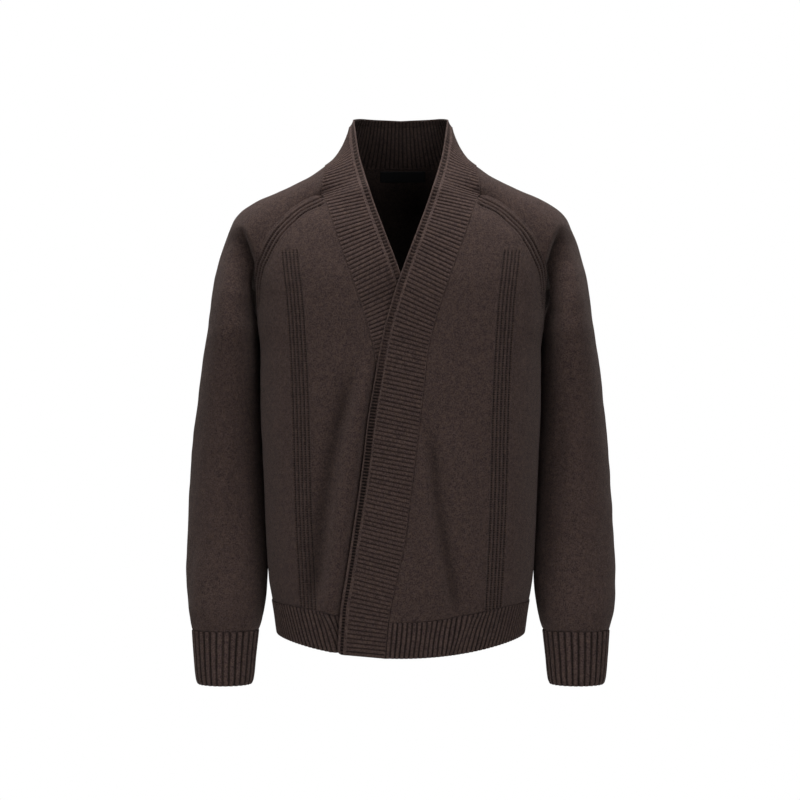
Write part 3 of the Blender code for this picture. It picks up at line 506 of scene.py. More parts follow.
def front_grid(side):
    """Rows of a front with its hem rib, from the hem's edge to the tip at the neck."""
    rows = []
    tip = FRONT_RAGLAN[-1].z - FRONT_TIP_DROP
    for z_edge, x_edge, z_seam, bend in panel_rows(FRONT_RAGLAN, "front_width", "front", tip):
        x_seam = read(BAND, "seam_x", z_seam, by="seam_z")
        span = x_edge - x_seam
        part = RAGLAN_PART + RAGLAN_PART_MORE * ease((z_edge - UNDERARM_Z) / RAGLAN_PART_OVER + 1)
        start = x_edge - min(RAGLAN_DECOR_WIDTH * part, RAGLAN_PART_MOST * span)
        middle = read(DECOR_LINE, "x", z_edge)
        outer = min(middle + DECOR_WIDTH / 2, start - PLAIN_PART_LEAST * span)
        inner = min(middle - DECOR_WIDTH / 2, outer - STRIPE_PART_LEAST * span)
        breaks = (start, outer, inner, x_seam)
        x, z = across_row(z_edge, z_seam, x_edge, breaks, FRONT_COUNTS, "front_width", bend)
        z[-1] = z_seam
        rows.append(front_point(x, z, side))
    share = np.linspace(0, 1, len(rows[-1]))[:, None]
    rows[-1] = rows[-1][0] * (1 - share) + rows[-1][-1] * share
    return np.array(rows)


def back_grid():
    """Rows of the back with its hem rib, from the wearer's right to the left."""
    rows = []
    for z_edge, x_edge, z_middle, bend in panel_rows(BACK_RAGLAN, "back_width", "back", NECK_BACK_Z):
        breaks = (BACK_SIDE_PART * x_edge, 0.0)
        half = back_point(*across_row(z_edge, z_middle, x_edge, breaks, BACK_COUNTS, "back_width", bend))
        rows.append(np.concatenate([half * (-1, 1, 1), half[-2::-1]]))
    return np.array(rows)


def along_arm_fold(points):
    """How far beyond the fold into the armpit a sleeve's points lie, and how much of the fold they get."""
    x, y, z = np.abs(points[..., 0]), points[..., 1], points[..., 2]
    beyond = x - read(ARM_FOLD_LINE, "x", z)
    start = ease((ARM_FOLD_LINE[-1].z - z) / ARM_FOLD_STARTS_OVER)
    end = ease((z - UNDERARM_Z + ARM_FOLD_ENDS_BELOW) / ARM_FOLD_ENDS_OVER)
    facing = ease((y.mean(1, keepdims=True) - y) / ARM_FOLD_FRONT)
    return beyond, start * end * facing


def press_arm_fold(sleeve):
    """Sink the front of a sleeve beside the fold into the armpit, with a slight lip along the fold."""
    beyond, share = along_arm_fold(sleeve)
    soft = np.exp(-(np.abs(beyond / ARM_FOLD_SOFT) ** ARM_FOLD_FALL))
    sunk = np.where(beyond > 0, soft, hill(beyond, ARM_FOLD_SHARP))
    lip = ARM_LIP_RISE * hill(beyond + ARM_LIP_AT, ARM_LIP_WIDTH)
    from_seam = np.minimum(np.arange(sleeve.shape[1]) / ARM_FOLD_FADE_COLUMNS, 1)
    sink = (ARM_FOLD_DEPTH * sunk - lip) * share * from_seam
    sink[:, -1] = 0
    sleeve[..., 1] += sink


def cap_row(front, top, back, cap):
    """A row of the raglan cap: quarter ellipses from the front seam over the top to the back seam."""
    row = []
    sides = ((front, cap.front_depth, -1), (back, cap.back_depth, 1))
    for half, (seam, depth, forward) in zip(SLEEVE_COUNTS, sides):
        reach = (seam[1] - cap.middle_y) * forward
        flat = ease((reach / depth - CAP_FLAT_FROM) / CAP_FLAT_OVER)
        depth -= CAP_FLATTENING * (depth - reach) * flat
        start = -math.acos(np.clip(reach / depth, *CAP_TURN_LIMITS))
        angles = np.linspace(start, math.pi / 2, half + 1)
        drop = (1 - np.sin(angles)) / (1 - math.sin(start))
        sway = cap.middle_y + forward * depth * np.cos(angles)
        sway += (seam[1] - sway[0]) * (1 - np.linspace(0, 1, half + 1)) ** 2
        points = np.array([top[0], 0, top[1]]) + drop[:, None] * (seam[0] - top[0], 0, seam[2] - top[1])
        points[:, 1] = sway
        row.append(points)
    return np.concatenate([row[0], row[1][-2::-1]])


def ring_row(ring, seam_y):
    """A level section of a sleeve, all round from the underarm seam by the front."""
    start = -math.acos(np.clip((ring.middle_y - seam_y) / ring.half_depth, -1, 1))
    front = np.linspace(start, math.pi / 2, SLEEVE_COUNTS[0] + 1)
    back = np.linspace(math.pi / 2, 2 * math.pi + start, SLEEVE_COUNTS[1] + 1)[1:]
    angles = np.concatenate([front, back])
    x = (ring.outer + ring.inner) / 2 + (ring.outer - ring.inner) / 2 * np.sin(angles)
    y = ring.middle_y - ring.half_depth * np.cos(angles)
    return np.stack([x, y, ring.z + 0 * angles], -1)


def rings_between(rings, count):
    """Rings at even levels on smooth curves through the given ones, and their places among them."""
    levels = np.linspace(rings[0].z, rings[-1].z, count + 1)
    sizes = [read(rings[::-1], name, levels) for name in Ring._fields[1:]]
    places = np.interp(-levels, [-ring.z for ring in rings], np.arange(len(rings)))
    return [Ring(*values) for values in zip(levels, *sizes)], places


def sleeve_grid(front_seam, back_seam):
    """Rows of the left sleeve from the neck to the cuff, from the underarm seam round by the front."""
    top_z, top_x = np.array(SLEEVE_TOP, float).T
    along = lengths_along(np.array(SLEEVE_TOP, float))
    rows = []
    for n, share in enumerate(np.linspace(0, 1, RAGLAN_ROWS + 1)):
        peak = smooth(along, top_x, share * along[-1]), smooth(along, top_z, share * along[-1])
        cap = Cap(share, *(read(SLEEVE_CAP, name, share, by="share") for name in Cap._fields[1:]))
        rows.append(cap_row(front_seam[n], peak, back_seam[n], cap))
    rings, ring_places = rings_between(SLEEVE_RINGS, SLEEVE_LOWER_ROWS)
    for ring, ring_place in zip(rings[1:], ring_places[1:]):
        rows.append(ring_row(ring, ring.middle_y * ease(ring_place / SEAM_SETTLES)))
    sleeve = np.array(rows)
    across = lengths_across(sleeve)
    from_seam = ease(np.minimum(across, across[:, -1:] - across) / UNDERARM_SIDE_FADE)
    for c in range(1, sleeve.shape[1] - 1):
        along = lengths_along(sleeve[:, c])
        near = hill(along - along[RAGLAN_ROWS], UNDERARM_REACH) * ease(along / UNDERARM_TOP_FADE)
        soft = filtered(sleeve[:, c], along, UNDERARM_SOFTENING)
        sleeve[:, c] += (soft - sleeve[:, c]) * (near * from_seam[:, c])[:, None]
    return sleeve


def band_grids(seam, chest_count, side):
    """The band's rows (along it) from seam to free edge, and the strip's beyond it.

    The seam's points run from the hem to the middle of the back. The first ones, up to chest_count,
    lie on the front.
    """
    along = lengths_along(seam)
    neck_start = along[chest_count]
    chest_z = seam[: chest_count + 1, 2]
    stations = []
    for row in BAND:
        run = np.array([row.edge_x - row.seam_x, row.edge_z - row.seam_z], float)
        rim_x, rim_z = np.array([row.edge_x, row.edge_z]) + unit(run) * STRIP_WIDTH
        way = float(np.interp(row.seam_z, chest_z, along[: chest_count + 1]))
        edge = front_point(np.float64(row.edge_x), np.float64(row.edge_z), side)
        stations.append((way, 0, *edge, *front_point(rim_x, rim_z, side)))
    for row in COLLAR:
        way = neck_start + row.share * (along[-1] - neck_start)
        edge = np.array([side * row.edge_x, row.edge_y, row.edge_z], float)
        rim = edge + unit(edge - on_line(way, along, seam)) * STRIP_WIDTH
        stations.append((way, row.hollow, *edge, *rim))
    places, hollows, *sides = np.array(stations).T
    leaning = ease(along / RIB_LEAN_STARTS_OVER)
    leaning *= ease((neck_start - RIB_LEAN_STOPS_BEFORE - along) / RIB_LEAN_STOPS_OVER)
    leant = along + RIB_LEAN * leaning
    both = np.stack([smooth(places, values, leant) for values in sides], -1)
    edge, rim = both[:, :3], both[:, 3:]
    middle = (seam + edge) / 2
    inward = unit((np.array(COLLAR_CENTRE) - middle) * (1, 1, 0))
    middle = middle + inward * smooth(places, hollows, along)[:, None]
    t = np.linspace(0, 1, BAND_COLUMNS + 1)[:, None]
    bow = np.stack([(1 - t) * (1 - 2 * t), 4 * t * (1 - t), t * (2 * t - 1)])
    band = seam[:, None] * bow[0] + middle[:, None] * bow[1] + edge[:, None] * bow[2]
    short = np.clip(CORNER_RADIUS - along, 0, CORNER_RADIUS)
    inset = CORNER_RADIUS - np.sqrt(CORNER_RADIUS**2 - short**2)
    t = np.linspace(0, 1, STRIP_COLUMNS + 1)[:, None] * (1 - inset / STRIP_WIDTH)[:, None, None]
    strip = edge[:, None] * (1 - t) + rim[:, None] * t
    return band, strip


class Cloth:
    """The middle surface of a knitted piece, with the way its borders end and its wales.

    ends says how its start (first row), end, first column and last column finish. wales gives, for each
    point, its place across and along the wales.
    """

    def __init__(self, name, points, outward, wall, ends, wales=None, closed_from=None):
        self.name = name
        self.points = points
        self.wall = wall
        self.ends = dict(zip(("start", "end", "first", "last"), ends))
        self.closed_from = closed_from
        across = np.gradient(points, axis=1)
        if closed_from is not None:
            wrapped = (points[closed_from:, 1] - points[closed_from:, -2]) / 2
            across[closed_from:, 0] = wrapped
            across[closed_from:, -1] = wrapped
        self.normals = outward * unit(np.cross(across, np.gradient(points, axis=0)))
        self.wales = along_and_across(points) if wales is None else wales

    def border(self):
        rows, columns = self.points.shape[:2]
        for r in range(rows):
            for c in range(columns) if r in (0, rows - 1) else (0, columns - 1):
                yield r, c


def filtered(values, along, reach, step=1.0):
    """A line's points, each averaged with those within reach of it along the line."""
    even = np.arange(0, along[-1] + step, step)
    line = on_line(even, along, values)
    weights = np.exp(-0.5 * (np.arange(-3 * reach, 3 * reach + step, step) / reach) ** 2)
    weights /= weights.sum()
    margin = len(weights) // 2
    before = 2 * line[0] - line[margin:0:-1]
    after = 2 * line[-1] - line[-2 : -margin - 2 : -1]
    padded = np.concatenate([before, line, after])
    soft = np.stack([np.convolve(padded[:, k], weights, "valid") for k in range(values.shape[1])], -1)
    return on_line(along, even, soft)


def fill_raglan_valleys(fronts, sleeves, back):
    """Let the cloth run smoothly over the raglan seams, where panels and sleeves met at an angle."""
    half = back.shape[1] // 2
    for side in (LEFT, RIGHT):
        front, sleeve = fronts[side], sleeves[side]
        back_half = back[:, half:][:, ::-1] if side == LEFT else back[:, : half + 1]
        for n in range(1, RAGLAN_ROWS):
            row = PANEL_TOP + n
            over = sleeve[RAGLAN_ROWS - n]
            line = np.concatenate([front[row, ::-1], over[1:-1], back_half[row]])
            along = lengths_along(line)
            seams = len(front[0]) - 1, len(front[0]) + len(over) - 2
            near = sum(hill(along - along[k], RAGLAN_REACH) for k in seams)
            ends = ease(along / RAGLAN_END_FADE) * ease((along[-1] - along) / RAGLAN_END_FADE)
            level = ease(n / RAGLAN_START_ROWS) * ease((RAGLAN_ROWS - n) / RAGLAN_END_ROWS)
            move = filtered(line, along, RAGLAN_SOFTENING) - line
            tangents = unit(np.gradient(line, axis=0))
            move -= (move * tangents).sum(-1, keepdims=True) * tangents
            line = line + move * (np.minimum(near, 1) * ends * level)[:, None]
            front[row, ::-1] = line[: len(front[0])]
            sleeve[RAGLAN_ROWS - n] = line[seams[0] : seams[1] + 1]
            back_half[row] = line[seams[1] :]


def along_and_across(points):
    """Places across and along a grid, both measured on its cloth from its middle column."""
    across = lengths_across(points)
    middle = points.shape[1] // 2
    along = lengths_along(points[:, middle])[:, None]
    return np.stack([across - across[:, middle : middle + 1], along + 0 * across], -1)


def torso_wales(points, half, samples=120):
    """Places across, measured round the torso from its middle, and up a front or the back."""
    wales = np.empty(points.shape[:2] + (2,))
    turn = np.linspace(0, math.pi / 2, samples)
    for n, row in enumerate(points):
        level = row[:, 2].mean()
        x = np.sin(turn) * read(TORSO, f"{half}_width", level)
        square = BACK_SQUARENESS if half == "back" else read(TORSO, "squareness", level)
        y, _, _ = superellipse(x, x[-1], read(TORSO, f"{half}_depth", level), square)
        round_it = lengths_along(np.stack([x, y], -1))
        wales[n, :, 0] = np.interp(np.abs(row[:, 0]), x, round_it) * np.sign(row[:, 0])
    wales[..., 1] = points[..., 2]
    return wales


def share_seam_normals(pieces, same=0.1):
    """Give border points that lie together one normal, so that neighbouring shells meet."""
    sums = defaultdict(lambda: np.zeros(3))
    for piece in pieces:
        for r, c in piece.border():
            sums[tuple(np.round(piece.points[r, c], 2))] += piece.normals[r, c]
    for piece in pieces:
        for r, c in piece.border():
            _, y, z = piece.points[r, c]
            at_underarm = abs(z - UNDERARM_Z) < same and abs(y) < same
            total = sums[tuple(np.round(piece.points[r, c], 2))]
            piece.normals[r, c] = (0, 0, -1) if at_underarm else unit(total)


@functools.cache
def cloth():
    """Every knitted piece on its shared seams, by name."""
    back = back_grid()
    back_tops = {LEFT: back[PANEL_TOP:, -1], RIGHT: back[PANEL_TOP:, 0]}
    neck_half = back.shape[1] // 2
    fronts, sleeves = {}, {}
    for side in (LEFT, RIGHT):
        fronts[side] = front_grid(side)
        mirror = (side, 1, 1)
        front_seam = fronts[side][PANEL_TOP:, 0][::-1] * mirror
        sleeves[side] = sleeve_grid(front_seam, back_tops[side][::-1] * mirror) * mirror
    fill_raglan_valleys(fronts, sleeves, back)
    pieces = [
        Cloth("back", back[HEM_ROWS:], -1, PLAIN_WALL, ("join", "chain", "seam", "seam"),
              torso_wales(back, "back")[HEM_ROWS:]),
        Cloth("hem_rib_back", back[: HEM_ROWS + 1], -1, RIB_WALL, ("free", "join", "seam", "seam")),
    ]
    rings, _ = rings_between(CUFF_RINGS, CUFF_ROWS)
    for side, word in ((LEFT, "left"), (RIGHT, "right")):
        front, sleeve = fronts[side], sleeves[side]
        press_arm_fold(sleeve)
        cuff = np.array([ring_row(ring, ring.middle_y) for ring in rings]) * (side, 1, 1)
        cuff[0] = sleeve[-1]
        neck = back[-1, neck_half:][::-1] if side == LEFT else back[-1, : neck_half + 1]
        band, strip = band_grids(np.concatenate([front[:, -1], sleeve[0], neck[1:]]), len(front), side)
        for name, points, wall, ends, *others in (
            ("front", front[HEM_ROWS:], PLAIN_WALL, ("join", "chain", "seam", "chain"),
             torso_wales(front, "front")[HEM_ROWS:]),
            ("hem_rib_front", front[: HEM_ROWS + 1], RIB_WALL, ("free", "join", "seam", "chain")),
            ("sleeve", sleeve, PLAIN_WALL, ("chain", "join", "seam", "seam"), None, RAGLAN_ROWS),
            ("cuff", cuff, RIB_WALL, ("join", "free", None, None), None, 0),
            ("collar_band", band, BAND_WALL, ("free", None, "chain", None)),
            ("band_edge", strip, STRIP_WALL, ("free", None, None, "free")),
        ):
            pieces.append(Cloth(f"{name}_{word}", points, -side, wall, ends, *others))
    share_seam_normals(pieces)
    return {piece.name: piece for piece in pieces}


def spread(values, at, axis):
    """Values of a grid at places between its rows or columns."""
    low = np.clip(np.floor(at).astype(int), 0, values.shape[axis] - 2)
    shape = [1, 1, 1]
    shape[axis] = len(at)
    part = (at - low).reshape(shape)
    return np.take(values, low, axis) * (1 - part) + np.take(values, low + 1, axis) * part


def thinned(count, step=1):
    """Every so manyth of a count of rows or columns, with the last one."""
    return np.unique(np.append(np.arange(0, count, step), count - 1)).astype(float)


def even_places(line, count):
    """Places, in steps of the line's points, that part the line evenly."""
    along = lengths_along(line)
    return np.interp(np.linspace(0, along[-1], count + 1), along, np.arange(len(line)))


def rung_places(line):
    """Places of a strip's points for whole rungs, wider apart round the neck."""
    along = lengths_along(line)
    pitch = read(STRIP_RUNGS, "pitch", (line[1:, 2] + line[:-1, 2]) / 2)
    passed = np.concatenate([[0], np.cumsum(np.diff(along) / pitch)])
    even = np.linspace(0, passed[-1], round(passed[-1]) * RUNG_STEPS + 1)
    return np.interp(even, passed, np.arange(len(line)))


def rib_places(line, pitch):
    """Places of a line's points for whole ribs at about that pitch, RIB_STEPS to a rib."""
    ribs = max(round(lengths_along(line)[-1] / pitch), 1)
    return even_places(line, ribs * RIB_STEPS)


class Face:
    """One side of a shell: its rows and columns in the cloth's grid, and what its points carry."""

    def __init__(self, cloth_piece, rows, columns):
        self.cloth = cloth_piece
        self.rows, self.columns = rows, columns
        self.middle = self.at(cloth_piece.points)
        self.normals = self.at(cloth_piece.normals)
        self.wales = self.at(cloth_piece.wales)
        self.rise = np.full(self.middle.shape[:2], cloth_piece.wall / 2)
        # The share of painted shade at each point, which darkens its colour: in grooves, holes, seams,
        # creases and on the inner side.
        self.hollow = np.zeros_like(self.rise)
        self.ladders = np.zeros(self.middle.shape[:2] + (2,))
        self.ladder = np.zeros_like(self.rise)
        self.finish_borders()

    def at(self, values):
        return spread(spread(values, self.rows, 0), self.columns, 1)

    def away(self):
        """How far each point lies from the four borders, along the cloth."""
        down, across = lengths_along(self.middle), lengths_across(self.middle)
        return {"start": down, "end": down[-1] - down, "first": across, "last": across[:, -1:] - across}

    def from_sides(self):
        return np.minimum(self.away()["first"], self.away()["last"])

    def finish_borders(self):
        away = self.away()
        sides_share = 1.0
        if self.cloth.closed_from:
            open_rows = self.cloth.closed_from + CLOSED_FADE_ROWS - self.rows
            sides_share = ease(open_rows / (2 * CLOSED_FADE_ROWS))[:, None]
        for name, kind in self.cloth.ends.items():
            if kind == "free":
                t = np.clip(1 - away[name] / EDGE_RADIUS, 0, 1)
                self.rise -= EDGE_THINNING * self.cloth.wall / 2 * (1 - np.sqrt(1 - t * t))
            elif kind:
                seam = BORDER_KINDS[kind]
                share = sides_share if name in ("first", "last") else 1.0
                self.rise -= seam.dip * ease(1 - away[name] / seam.reach) * share
                # Painted shade along the border.
                self.darken(seam.dark * ease(1 - away[name] / seam.dark_reach) * share)

    # Painted shade: each call darkens the face's colour further.
    def darken(self, shade):
        self.hollow = 1 - (1 - self.hollow) * (1 - shade)

    def shade_inside(self):
        """Paint shade on an inner face, deepest where the body of the garment closes it in."""
        depth = ease((NECK_OPEN_Z - self.middle[..., 2]) / NECK_SHADE_OVER)
        self.darken(INSIDE_SHADE + INSIDE_DEEPER * depth)

    def ruffle(self, seed, height=RUFFLE_HEIGHT):
        """Slight unevenness of the hand of the cloth."""
        draw = np.random.default_rng(seed)
        u, v = self.wales[..., 0], self.wales[..., 1]
        for _ in range(RUFFLE_WAVES):
            turn = draw.uniform(0, math.pi)
            length = draw.uniform(*RUFFLE_LENGTHS)
            start = draw.uniform(0, RUFFLE_STARTS)
            wave = np.sin((u * math.cos(turn) + v * math.sin(turn)) * 2 * math.pi / length + start)
            self.rise = self.rise + height / 3 * wave * length / RUFFLE_FULL_LENGTH

    def points(self, sign):
        return self.middle + sign * self.normals * self.rise[..., None]

    def rib_wales(self, axis, pitch):
        """Give a ribbed face one wale to a rib; rows (0) or columns (1) cross the ribs."""
        steps = len((self.rows, self.columns)[axis])
        across = (np.arange(steps) / RIB_STEPS - 0.5) * pitch
        along = lengths_along(self.middle) if axis == 1 else lengths_across(self.middle)
        across = np.broadcast_to(across[:, None] if axis == 0 else across, along.shape)
        self.wales = np.stack([across, along], -1)


def zipped(outer, outer_at, inner, inner_at):
    """Triangles between two chains of points that run side by side, and where each starts on the first."""
    faces, starts, i, k = [], [], 0, 0
    while i < len(outer) - 1 or k < len(inner) - 1:
        starts.append(i)
        if k == len(inner) - 1 or (i < len(outer) - 1 and outer_at[i + 1] <= inner_at[k + 1] + 1e-6):
            faces.append((outer[i], outer[i + 1], inner[k]))
            i += 1
        else:
            faces.append((outer[i], inner[k + 1], inner[k]))
            k += 1
    return np.array(faces), np.array(starts)


def wound(faces, points, towards):
    """The faces, turned over if they don't look towards the given directions."""
    a, b, c = (points[faces[:, k]] for k in range(3))
    facing = (np.cross(b - a, c - a) * towards).sum()
    return faces[:, ::-1] if facing < 0 else faces


def shell_mesh(name, outer, inner):
    """A closed mesh of a shell from its outer and inner faces."""
    inner.shade_inside()
    sides = (outer, inner)
    tables = [start + np.arange(face.rise.size).reshape(face.rise.shape)
              for face, start in zip(sides, (0, outer.rise.size))]
    points = np.concatenate([outer.points(1).reshape(-1, 3), inner.points(-1).reshape(-1, 3)])
    maps = {label: np.concatenate([getattr(face, label).reshape(-1, 2) for face in sides])
            for label in ("wales", "ladders")}
    maps["wales"] *= MM
    # The painted shade mask and the ladder holes' strength go to the mesh as attributes.
    masks = {label: np.concatenate([getattr(face, label).ravel() for face in sides])
             for label in ("hollow", "ladder")}
    joined = np.arange(len(points))
    closed_from = outer.cloth.closed_from
    groups = []
    for face, table, sign in zip(sides, tables, (1, -1)):
        if closed_from is not None:
            closed = face.rows >= closed_from - 1e-6
            joined[table[closed, -1]] = joined[table[closed, 0]]
        corners = (table[:-1, :-1], table[:-1, 1:], table[1:, 1:], table[1:, :-1])
        quads = np.stack([corner.ravel() for corner in corners], -1)
        groups.append(wound(quads, points, sign * face.normals[:-1, :-1].reshape(-1, 3)))
    rims = [(tables, outer.middle, (outer.columns, inner.columns))]
    if closed_from != 0:
        last = outer.rows[-1] if closed_from is None else closed_from
        kept = [face.rows <= last + 1e-6 for face in sides]
        rims.append((
            [table[rows].T for table, rows in zip(tables, kept)],
            outer.middle[kept[0]].swapaxes(0, 1),
            [face.rows[rows] for face, rows in zip(sides, kept)],
        ))
    for rim, middle, places in rims:
        for end, beside in ((0, 1), (-1, -2)):
            faces, starts = zipped(rim[0][end], places[0], rim[1][end], places[1])
            groups.append(wound(faces, points, (middle[end] - middle[beside])[starts]))
    return mesh_from(name, points, joined, groups, maps, masks)


def mesh_from(name, points, joined, groups, maps, masks):
    """A smooth mesh with its maps as UVs and its masks as attributes."""
    corners = np.concatenate([faces.ravel() for faces in groups])
    sizes = np.concatenate([np.full(len(faces), faces.shape[1]) for faces in groups])
    used, vertex = np.unique(joined[corners], return_inverse=True)
    mesh = bpy.data.meshes.new(name)
    mesh.vertices.add(len(used))
    mesh.vertices.foreach_set("co", (points[used] * MM).astype(np.float32).ravel())
    mesh.loops.add(len(vertex))
    mesh.loops.foreach_set("vertex_index", vertex.ravel().astype(np.int32))
    mesh.polygons.add(len(sizes))
    starts = np.concatenate([[0], np.cumsum(sizes)[:-1]])
    mesh.polygons.foreach_set("loop_start", starts.astype(np.int32))
    mesh.update(calc_edges=True)
    mesh.shade_smooth()
    for label, values in maps.items():
        layer = mesh.uv_layers.new(name=label)
        layer.data.foreach_set("uv", values[corners].astype(np.float32).ravel())
    for label, values in masks.items():
        mask = mesh.attributes.new(label, "FLOAT", "POINT")
        mask.data.foreach_set("value", np.clip(values[used], 0, 1).astype(np.float32))
    if mesh.validate():
        raise RuntimeError(f"the mesh of {name} had faults")
    return mesh


def new_object(name, data):
    made = bpy.data.objects.new(name, data)
    bpy.context.scene.collection.objects.link(made)
    return made


def knit(piece, outer, inner, material, slot, rests_on):
    """Make a piece's mesh and object with its material, attach it and hide its solid; slot and rests_on are
    not used.
    """
    mesh = shell_mesh(f"knit_{piece.name}", outer, inner)
    mesh.materials.append(material)
    shell = new_object(f"knit_{piece.name}", mesh)
    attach(shell, "root")
    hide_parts(piece.name)
    across = lengths_across(piece.points)[:, -1].max() * MM


def knit_upright_ribs(context, piece, places, seed, rests_on, shape=None):
    """Knit a piece with upright ribs, whose grooves are the ribs of its inner face."""
    gauge = context.scene.cardigan_gauge
    faces = []
    for shift in (0, HALF_RIB):
        face = Face(piece, thinned(len(piece.points), 2 if shift else 1), places)
        face.rib_wales(1, gauge.rib_stitch / MM)
        if shape:
            shape(face)
        if shift == 0:
            face.rise += RIB_RISE
        add_ribs(face, 1, gauge.rib_depth / MM, shift=shift, seed=seed)
        faces.append(face)
    knit(piece, *faces, rib_knit(), "rib_knit", rests_on)


def from_seam(points, seam):
    """How far points of a panel lie from its raglan seam, and how far along it from the underarm."""
    along = lengths_along(seam)
    apart = np.linalg.norm(points.reshape(-1, 3)[:, None] - seam[None], axis=-1)
    nearest = apart.argmin(1)
    return apart.min(1).reshape(points.shape[:2]), along[nearest].reshape(points.shape[:2])


def add_ladders(face, step=0.25):
    """The ladder lines of a front: along its raglan seam, and down its vertical stripe."""
    z = face.middle[..., 2]
    away = face.away()
    seam = face.middle[np.searchsorted(face.rows, SIDE_ROWS) :, 0]
    fine = on_line(np.arange(0, len(seam) - 1, step), range(len(seam)), seam)
    apart, along = from_seam(face.middle, fine)
    towards_neck = (lengths_along(fine)[-1] - along) / RAGLAN_NARROWS_OVER
    narrow = RAGLAN_NARROW + (1 - RAGLAN_NARROW) * ease(towards_neck)
    at_raglan = (apart / narrow - RAGLAN_FIRST) / RAGLAN_PITCH
    decor_x = read(DECOR_LINE, "x", z[:, 0])
    line = [np.interp(x, np.abs(row[::-1]), np.abs(wale[::-1]))
            for x, row, wale in zip(decor_x, face.middle[..., 0], face.wales[..., 0])]
    at_stripe = (np.abs(face.wales[..., 0]) - np.array(line)[:, None]) / STRIPE_PITCH
    at_stripe += (STRIPE_LINES - 1) / 2
    on_raglan = ease((z - RAGLAN_DECOR_END_Z) / RAGLAN_DECOR_FADE)
    on_raglan = on_raglan * ease((away["last"] - BAND_KEEPS_OFF) / BAND_FADE)
    above_hem = ease((away["start"] + RELIEF_LEAD) / RELIEF_OVER_HEM)
    on_stripe = ease((DECOR_TOP_Z - z) / DECOR_TOP_FADE)
    on_stripe = on_stripe * ease((at_raglan - RAGLAN_LINES + STRIPE_KEEPS_OFF) / STRIPE_FADE)
    for across, count, pitch, places_along, strength in (
        (at_raglan, RAGLAN_LINES, RAGLAN_PITCH, along, on_raglan),
        (at_stripe, STRIPE_LINES, STRIPE_PITCH, z, on_stripe),
    ):
        within = (across > -0.5) & (across < count - 0.5)
        apart = np.abs(across - np.round(across)) * pitch
        outside = np.maximum(-0.5 - across, across - count + 0.5)
        ridge = LADDER_RIDGE * ease(1 - outside / 0.5) * (1 - hill(apart, RIDGE_FROM)) * (outside < 0.5)
        groove = (LADDER_DEPTH + LADDER_RIDGE) * hill(apart, LADDER_WIDTH) * within
        face.rise += (ridge - groove) * strength * above_hem
        # Painted shade along the ladder lines.
        face.darken(LADDER_DARK * hill(apart, LADDER_DARK_WIDTH) * within * strength)
        near = outside < LADDER_HOLES_REACH
        face.ladder[near] = (strength * np.ones_like(z))[near]
        face.ladders[near] = np.stack([across, places_along / LADDER_PERIOD], -1)[near]


def lean_hem(face):
    """Let the ribs of the hem waver a little, and those of a front lean out towards the side seam."""
    away = face.away()
    height = away["start"] + away["end"]
    up = away["start"] / height - 0.5
    free = ease(face.from_sides() / HEM_FREE_OVER)
    on_front = face.cloth.name != "hem_rib_back"
    outward = ease((away["last"] - HEM_LEANS_FROM) / HEM_LEANS_OVER) * on_front
    phase = away["first"] / HEM_WAVE + HEM_SWAY * np.sin(away["first"] / HEM_SLOW_WAVE) + HEM_TWIST * up
    shift = (HEM_WAVER * np.sin(phase) - HEM_LEAN * up * height.mean() * outward) * free
    face.middle = face.middle + unit(np.gradient(face.middle, axis=1)) * shift[..., None]


def add_ribs(face, axis, depth, fade=1.0, shift=0, seed=0, dark=1.0):
    """Rounded ribs with narrow grooves along an axis: rows (0) or columns (1) cross the ribs."""
    count = face.rise.shape[axis]
    phase = (np.arange(count) + shift) % RIB_STEPS
    ridge = np.abs(np.sin(math.pi * phase / RIB_STEPS)) ** RIB_FULLNESS
    draw = np.random.default_rng(seed)
    uneven = np.repeat(draw.uniform(*RIB_UNEVENNESS, count // RIB_STEPS + 2), RIB_STEPS)[:count]
    shade = np.array(GROOVE_SHADE)[phase]
    shape = (count, 1) if axis == 0 else (1, count)
    face.rise = face.rise + (depth * uneven * (ridge - 1)).reshape(shape) * fade
    # Painted shade in the grooves.
    face.darken((dark * shade * uneven.clip(LEAST_GROOVE_SHADE, 1)).reshape(shape) * fade)


def add_chain(face, away):
    """A raised chain of edge stitches along a border of the band."""
    turn = np.arange(len(face.rows)) * 2 * math.pi / RIB_STEPS
    links = 1 - CHAIN_LINKS + CHAIN_LINKS * np.sin(turn)[:, None]
    face.rise = face.rise + CHAIN_RISE * hill(away - CHAIN_AT, CHAIN_WIDTH) * links


def add_holes(face):
    """The strip's ladder of holes, between a chain and an outer cord."""
    across = face.columns / STRIP_COLUMNS * STRIP_WIDTH
    level = face.middle[:, 0, 2]
    width, dark = (read(STRIP_RUNGS, name, level)[:, None] for name in ("hole", "dark"))
    middle = (STRIP_CHAIN + STRIP_WIDTH - CORD_WIDTH) / 2
    inside = ease((width / 2 + HOLE_FADE / 2 - np.abs(across - middle)[None, :]) / HOLE_FADE)
    step = np.arange(len(face.rows)) % RUNG_STEPS
    holes = inside * np.array(OPEN_BETWEEN_RUNGS)[step][:, None]
    cord = np.sqrt(np.clip(1 - ((across - STRIP_WIDTH + CORD_WIDTH / 2) / (CORD_WIDTH / 2)) ** 2, 0, 1))
    chain = hill(across - STRIP_CHAIN / 2, STRIP_CHAIN_SPREAD)
    face.rise = face.rise + CORD_RISE * (cord + STRIP_CHAIN_SHARE * chain)[None, :] - HOLE_DEPTH * holes
    # Painted shade in the holes.
    face.darken(holes * dark)


def feed(node, inputs):
    """Give a node's inputs their values, or the sockets that feed them."""
    for key, value in inputs.items():
        if isinstance(value, bpy.types.NodeSocket):
            node.id_data.links.new(value, node.inputs[key])
        else:
            node.inputs[key].default_value = value


